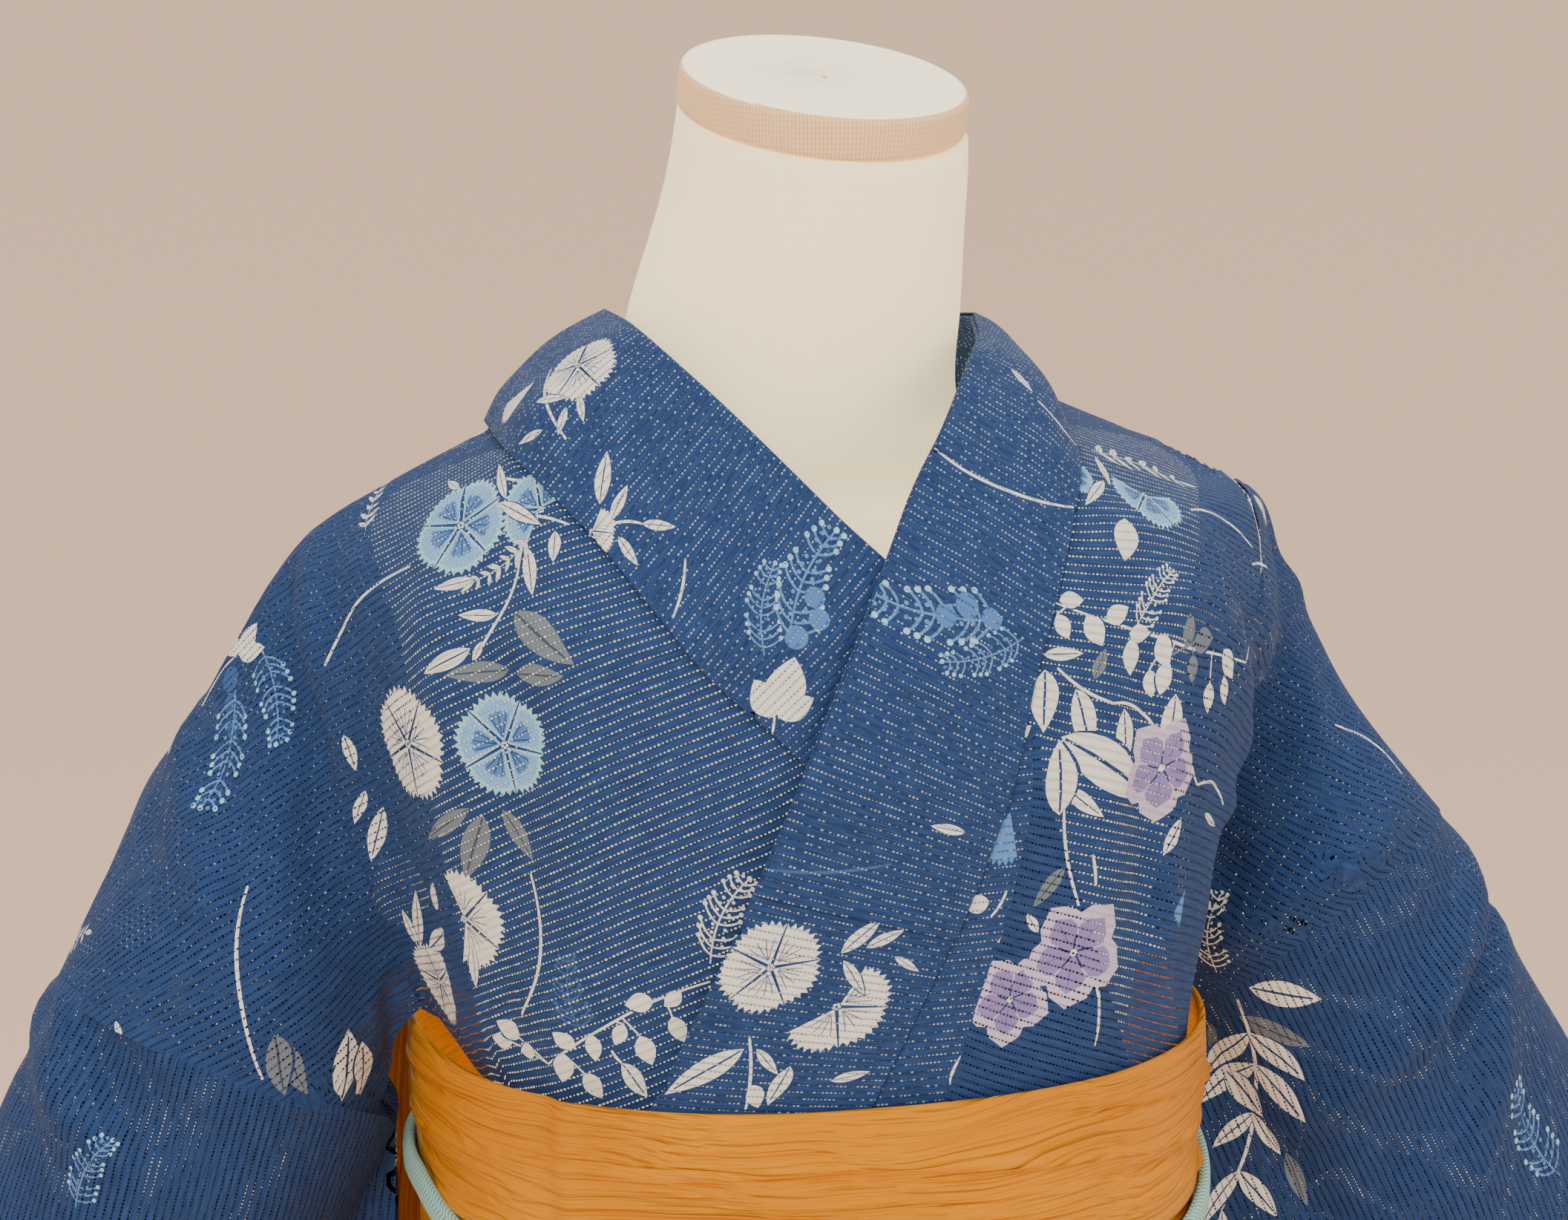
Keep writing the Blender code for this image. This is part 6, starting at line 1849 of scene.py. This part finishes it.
def build_obi(finish):
    turns = np.linspace(0, math.tau, OBI_STEPS, endpoint=False) + math.pi
    low, high = OBI_BOTTOM + OBI_LIP, OBI_TOP - OBI_LIP
    rows = [obi_ring(turns, z, obi_relief(turns, z), z) for z in np.linspace(low, high, OBI_ROWS)]
    half = OBI_WALL / 2
    for tilt in (35, 90, 145):
        a = math.radians(tilt)
        out = obi_relief(turns, OBI_TOP) - half + half * math.cos(a)
        rows.append(obi_ring(turns, OBI_TOP, out, high + half * math.sin(a)))
    rows += [obi_ring(turns, z, -OBI_WALL, z) for z in np.linspace(high, low, 16)]
    for tilt in (145, 90, 35):
        a = math.radians(tilt)
        out = obi_relief(turns, OBI_BOTTOM) - half + half * math.cos(a)
        rows.append(obi_ring(turns, OBI_BOTTOM, out, low - half * math.sin(a)))
    return tube_mesh("obi", np.array(rows), finish, True, True)


def thicken(made, thickness):
    shell = made.modifiers.new("Wall", "SOLIDIFY")
    shell.thickness = thickness
    shell.offset = 0.0
    shell.use_even_offset = False
    return made


def build_bow(finish):
    """The bow tied behind: knot, two loops and two ends, each with the folds it is tied in."""
    back = obi_size(0.95)[1]
    knot = []
    for k in range(64):
        angle = math.tau * k / 64
        row = []
        for x in np.linspace(-0.026, 0.026, 40):
            pleat = 0.0012 * math.cos(x * 520 + 1.3 * math.sin(angle)) * (0.4 + 0.6 * abs(math.cos(angle)))
            waist = 1 + 0.05 * math.cos(math.pi * x / 0.026)
            row.append((x, back + BOW_STAND + (0.024 * waist + pleat) * math.cos(angle),
                        BOW_Z + (0.044 + pleat) * math.sin(angle)))
        knot.append(row)
    made = [thicken(tube_mesh("bow_wrap", np.array(knot), finish, True), OBI_WALL)]
    for side, sign in (("right", -1), ("left", 1)):
        rows = []
        for k in range(73):
            turn = math.pi * k / 72
            reach = math.sin(turn)
            open_share = float(smooth(reach, 0.15, 0.65))
            x = 0.010 + 0.1645 * reach
            depth = 0.0173 + 0.0105 * open_share
            y = back + BOW_STAND + depth * math.cos(turn)
            half = 0.020 + 0.048 * open_share
            sag = 0.025 * reach**2
            row = []
            for share in np.linspace(-1, 1, 45):
                fold = 0.0025 * math.cos(2 * math.pi * share) * reach * math.cos(turn)
                gather = 0.0016 * math.sin(9 * share + 0.7 * sign) * math.exp(-((reach - 0.25) / 0.4) ** 2)
                face = math.copysign(1, math.cos(turn)) * min(1, abs(math.cos(turn)) * 3)
                row.append((sign * x, y + fold + gather * face, BOW_Z + half * share - sag))
            rows.append(row)
        made.append(thicken(tube_mesh(f"bow_loop_{side}_cloth", np.array(rows), finish), OBI_WALL))
    for side, sign in (("right", -1), ("left", 1)):
        rows = []
        for k in range(61):
            share = k / 60
            half = 0.016 + 0.042 * float(smooth(share, 0.0, 0.5))
            y = back + BOW_STAND + 0.007 * sign + 0.010 * math.sin(math.pi * share)
            row = []
            for across in np.linspace(-1, 1, 41):
                x = sign * (0.030 + 0.020 * share) + half * across
                gather = 0.0012 * math.cos(8 * across + sign) * (1 - share)
                wave = 0.0025 * math.cos(3 * math.pi * across) * share
                row.append((x, y + wave + gather, 0.9180 - 0.300 * share))
            rows.append(row)
        made.append(thicken(tube_mesh(f"bow_end_{side}_cloth", np.array(rows), finish), OBI_WALL))
    return made


def build_cord(finish):
    rings = []
    steps = 480
    for k in range(steps):
        angle = math.tau * k / steps
        z = cord_height(angle)
        ring = []
        for j in range(20):
            turn = math.tau * j / 20
            c, s = math.cos(turn), math.sin(turn)
            size = (abs(c) ** 3 + abs(s) ** 3) ** (-1 / 3)
            up = CORD_WIDTH / 2 * c * size
            out = CORD_THICK / 2 * s * size + CORD_THICK / 2 + CORD_CLEAR - 0.0006
            ring.append(obi_point(angle, z, out)[:2] + (z + up,))
        rings.append(ring)
    band = tube_mesh("cord", np.array(rings), finish, True, True)
    front = -obi_size(CORD_FRONT_Z)[1] - 0.0131
    rows = []
    for k in range(49):
        tilt = math.pi * k / 48
        row = []
        for j in range(64):
            turn = math.tau * j / 64
            wrap = 1 + 0.06 * math.cos(3 * turn + 6 * math.cos(tilt))
            row.append((0.015 * math.cos(tilt), front + 0.0065 * wrap * math.sin(tilt) * math.cos(turn),
                        CORD_FRONT_Z + 0.011 * wrap * math.sin(tilt) * math.sin(turn)))
        rows.append(row)
    knot = tube_mesh("cord_tied", np.array(rows), finish, False, True)
    return [band, knot]


def build_form(cover):
    heights, *sizes = zip(*FORM)
    turns = np.linspace(0, math.tau, FORM_STEPS, endpoint=False)
    trunk, shoulders = np.linspace(0.740, 1.15, 42)[:-1], np.linspace(1.15, 1.30, 50)[:-1]
    rings = []
    for z in np.concatenate([trunk, shoulders, np.linspace(1.30, 1.370, 14)]):
        wide, deep, middle, power = (float(blend_steps(heights, values, [z])[0]) for values in sizes)
        x, y = ellipse(wide, deep, turns, power)
        rise = float(smooth(z, 1.26, 1.370))
        lean = (NECK_LEAN[0] + (NECK_LEAN[1] - NECK_LEAN[0]) * rise) * float(smooth(z, 1.22, 1.27))
        dip = (math.tan(CAP_NOD) * y - math.tan(CAP_DIP) * x) * rise
        rings.append(np.stack([x + lean, y + middle, z + dip], -1))
    base = rings[0]
    centre = base.mean(0)
    under = [centre + (base - centre) * share for share in (0.02, 0.5, 0.9)]
    top = rings[-1]
    over = [top.mean(0) + (top - top.mean(0)) * share for share in (0.9, 0.4, 0.02)]
    return tube_mesh("form_cover", np.array(under + rings + over), cover, False, True)


def build_cap(top_finish, rim_finish):
    """The neck cap: a disc with a rounded rim, a little dished on top."""
    half = CAP_THICK / 2
    profile = [(0.02, -half), (0.55, -half), (0.93, -half)]
    for k in range(9):
        a = math.radians(-90 + 90 * k / 8)
        profile.append((0.935 + 0.065 * math.cos(a), -half + 0.0035 + 0.0035 * math.sin(a)))
    for k in range(9):
        a = math.radians(90 * k / 8)
        profile.append((0.935 + 0.065 * math.cos(a), half - 0.0035 + 0.0035 * math.sin(a)))
    profile += [(0.90, half - 0.0004), (0.6, half - 0.0008), (0.3, half - 0.0009), (0.02, half - 0.0009)]
    nod, dip = CAP_NOD, CAP_DIP
    rows = []
    for size, up in profile:
        row = []
        for k in range(128):
            turn = math.tau * k / 128
            x, y, z = 0.0535 * size * math.sin(turn), -0.0590 * size * math.cos(turn), up
            y, z = y * math.cos(nod) - z * math.sin(nod), y * math.sin(nod) + z * math.cos(nod)
            x, z = x * math.cos(dip) + z * math.sin(dip), -x * math.sin(dip) + z * math.cos(dip)
            row.append((CAP_CENTRE[0] + x, CAP_CENTRE[1] + y, CAP_CENTRE[2] + z))
        rows.append(row)
    made = tube_mesh("neck_cap", np.array(rows), rim_finish, False, True)
    made.data.materials.append(top_finish)
    for face in made.data.polygons:
        face.material_index = 1 if face.normal.z > 0.75 else 0
    return made


# Stage


def add_area(name, place, aim, size, power, colour):
    lamp = bpy.data.lights.new(name, "AREA")
    lamp.shape = "RECTANGLE"
    lamp.size, lamp.size_y = size
    lamp.energy = power
    lamp.color = colour
    made = bpy.data.objects.new(name, lamp)
    bpy.context.collection.objects.link(made)
    made.location = place
    made.rotation_euler = (Vector(aim) - Vector(place)).to_track_quat("-Z", "Y").to_euler()
    return made


def build_stage():
    bpy.ops.mesh.primitive_plane_add(size=80.0, location=(0, 0, -0.0005))
    floor = bpy.context.object
    floor.name = "floor"
    floor.data.materials.append(Shade("pale_floor", (0.95, 0.70, 0.52), 0.9).material)
    lights = [
        add_area("key", (-1.5, -2.4, 2.9), (0, 0, 1.15), (1.3, 1.3), 62, (1.0, 0.985, 0.96)),
        add_area("fill", (2.2, -1.9, 1.9), (0, 0, 1.10), (1.8, 1.8), 26, (0.96, 0.98, 1.0)),
        add_area("top", (0.2, 0.6, 3.2), (0, 0, 1.15), (1.8, 1.8), 22, (1.0, 1.0, 1.0)),
    ]
    world = bpy.data.worlds.new("pale")
    bpy.context.scene.world = world
    world.use_nodes = True
    world.node_tree.nodes["Background"].inputs["Color"].default_value = (1.0, 0.90, 0.78, 1.0)
    world.node_tree.nodes["Background"].inputs["Strength"].default_value = 1.05
    view = bpy.data.cameras.new("photo")
    view.lens = CAMERA_LENS
    view.sensor_width = CAMERA_SENSOR
    view.shift_x = CAMERA_SHIFT
    view.clip_start = 0.05
    camera = bpy.data.objects.new("photo", view)
    bpy.context.collection.objects.link(camera)
    camera.location = CAMERA_AT
    camera.rotation_euler = (Vector(CAMERA_AIM) - Vector(CAMERA_AT)).to_track_quat("-Z", "Y").to_euler()
    bpy.context.scene.camera = camera


# Add-on


class YukataSettings(bpy.types.PropertyGroup):
    cell: FloatProperty(name="Cell", description="Size of the cloth's mesh cells", default=0.0046,
                        min=0.002, max=0.02, unit="LENGTH")
    spacing: FloatProperty(name="Print spacing", description="Least distance between scattered motifs",
                           default=0.062, min=0.03, max=0.2, unit="LENGTH")
    seed: IntProperty(name="Print seed", description="Changes the print where the photo doesn't show it",
                      default=7)
    steel: FloatVectorProperty(name="Stand colour", description="Paint of the pole and base",
                               default=(0.72, 0.71, 0.69), subtype="COLOR", min=0.0, max=1.0)


def settings():
    return bpy.context.scene.yukata


def hidden_parts(name):
    """Where the print is scattered: what the photo doesn't show of a piece."""
    if name.startswith("body"):
        return lambda row, column: row > 0.56
    if name.startswith("sleeve"):
        return lambda row, column: row > 0.52 or row < 0.16
    if name.endswith("collar"):
        return lambda row, column: 0.38 < row < 0.60 and column < 0.6
    return lambda row, column: True


def print_cloth(cloth, finish, cell_scale=1.0):
    """Prints a piece: strewn motifs first, then the photo's stems, twigs and motifs over them."""
    shapes = []
    if cloth.name.startswith(("body", "sleeve", "skirt")):
        seed = settings().seed + sum(map(ord, cloth.name))
        shapes += cloth.scattered(seed, hidden_parts(cloth.name), settings().spacing)
    if cloth.name == "waist_fold":
        shapes += cloth.scattered(settings().seed, hidden_parts(cloth.name), settings().spacing * 1.2)
    if cloth.name in ("over_collar", "collar"):
        shapes += cloth.scattered(settings().seed + 3, hidden_parts(cloth.name), 0.05)
    for x, y, to_x, to_y, bend, tint in STEMS.get(cloth.name, ()):
        shapes += cloth.placed_stem((x, y), (to_x, to_y), bend, tint)
    for x, y, to_x, to_y, bend, size, tint, middles in TWIGS.get(cloth.name, ()):
        shapes += cloth.placed_twig((x, y), (to_x, to_y), bend, size, tint, middles)
    for kind, x, y, to_x, to_y, tint in MOTIFS.get(cloth.name, ()):
        shapes += cloth.placed_motif(kind, (x, y), (to_x, to_y), tint)
    return cloth.printed(shapes, settings().cell * cell_scale, finish)


def settle(made, nodes):
    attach(made, "root")
    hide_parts(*nodes)
    return made


def cotton(open_weave=True):
    """The cotton with real holes, or with holes filled with painted light and painted shade for cloth that
    lies on cloth.
    """
    name = "openwork_cotton" if open_weave else "openwork_cotton_double"
    return bpy.data.materials.get(name) or cotton_material(name, open_weave)


class YUKATA_OT_robe(bpy.types.Operator):
    """Build the body panels, collar and sleeves"""
    bl_idname = "yukata.robe"
    bl_label = "Robe"

    def execute(self, context):
        for side in ("right", "left"):
            body = print_cloth(body_cloth(side), cotton())
            settle(body, [f"body_{side}_front", f"body_{side}_back"])
            okumi = print_cloth(okumi_cloth(side), cotton(False))
            settle(okumi, [f"okumi_{side}"])
            sleeve = print_cloth(sleeve_cloth(side), cotton(), 1.25)
            settle(sleeve, [f"sleeve_{side}_front", f"sleeve_{side}_back"])
        collar = print_cloth(collar_cloth(), cotton(False), 0.8)
        settle(collar, ["collar"])
        outer = print_cloth(over_collar_cloth(), cotton(False), 0.8)
        settle(outer, ["over_collar"])
        return {"FINISHED"}


class YUKATA_OT_skirt(bpy.types.Operator):
    """Build the skirt and the fold at the waist"""
    bl_idname = "yukata.skirt"
    bl_label = "Skirt"

    def execute(self, context):
        for name, start, end, over in SKIRT_PIECES:
            made = print_cloth(skirt_cloth(name, start, end, over), cotton(), 1.6)
            settle(made, [name])
        fold = print_cloth(fold_cloth(), cotton(), 1.2)
        settle(fold, ["waist_fold"])
        return {"FINISHED"}


class YUKATA_OT_obi(bpy.types.Operator):
    """Build the obi, its bow and the cord over it"""
    bl_idname = "yukata.obi"
    bl_label = "Obi"

    def execute(self, context):
        silk = silk_material()
        obi = settle(build_obi(silk), ["obi_band"])
        names = ("bow_knot", "bow_loop_right", "bow_loop_left", "bow_end_right", "bow_end_left")
        widths = (0.052, 0.13, 0.13, 0.10, 0.10)
        for made, node, width in zip(build_bow(silk), names, widths):
            settle(made, [node])
        for made, node in zip(build_cord(braid_material()), ("cord_band", "cord_knot")):
            settle(made, [node])
        return {"FINISHED"}


class YUKATA_OT_form(bpy.types.Operator):
    """Build the dress form's cover and cap, and paint its stand"""
    bl_idname = "yukata.form"
    bl_label = "Form"

    def execute(self, context):
        # The cover and cap glow with painted light; the cap's top glows brighter than its rim, a painted lit
        # top
        cover = knit("cream_knit", (0.95, 0.78, 0.44), (0.99, 0.88, 0.55), 0.85)
        settle(build_form(cover), ["form_body"])
        rim = knit("cap_rim", (0.74, 0.44, 0.20), (0.94, 0.64, 0.33), 0.22)
        top = knit("cap_top", (0.95, 0.82, 0.56), (0.99, 0.90, 0.66), 0.80)
        settle(build_cap(top, rim), ["form_cap"])
        steel = metal_material(tuple(settings().steel))
        for node in ("stand_pole", "stand_base"):
            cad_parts[node].data.materials.clear()
            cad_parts[node].data.materials.append(steel)
        return {"FINISHED"}


class YUKATA_OT_stage(bpy.types.Operator):
    """Build the floor, the lights and the camera"""
    bl_idname = "yukata.stage"
    bl_label = "Stage"

    def execute(self, context):
        build_stage()
        return {"FINISHED"}


class YUKATA_PT_panel(bpy.types.Panel):
    bl_label = "Yukata on a form"
    bl_idname = "YUKATA_PT_panel"
    bl_space_type = "VIEW_3D"
    bl_region_type = "UI"
    bl_category = "Yukata"

    def draw(self, context):
        column = self.layout.column()
        for name in ("cell", "spacing", "seed", "steel"):
            column.prop(context.scene.yukata, name)
        for name in ("robe", "skirt", "obi", "form", "stage"):
            column.operator(f"yukata.{name}")


CLASSES = (YukataSettings, YUKATA_OT_robe, YUKATA_OT_skirt, YUKATA_OT_obi, YUKATA_OT_form, YUKATA_OT_stage,
           YUKATA_PT_panel)


def register():
    for item in CLASSES:
        bpy.utils.register_class(item)
    bpy.types.Scene.yukata = bpy.props.PointerProperty(type=YukataSettings)


def unregister():
    del bpy.types.Scene.yukata
    for item in reversed(CLASSES):
        bpy.utils.unregister_class(item)


def main():
    register()
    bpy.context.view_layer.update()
    bpy.ops.yukata.form()
    bpy.ops.yukata.obi()
    bpy.ops.yukata.robe()
    bpy.ops.yukata.skirt()
    bpy.ops.yukata.stage()


if __name__ == "__main__":
    main()
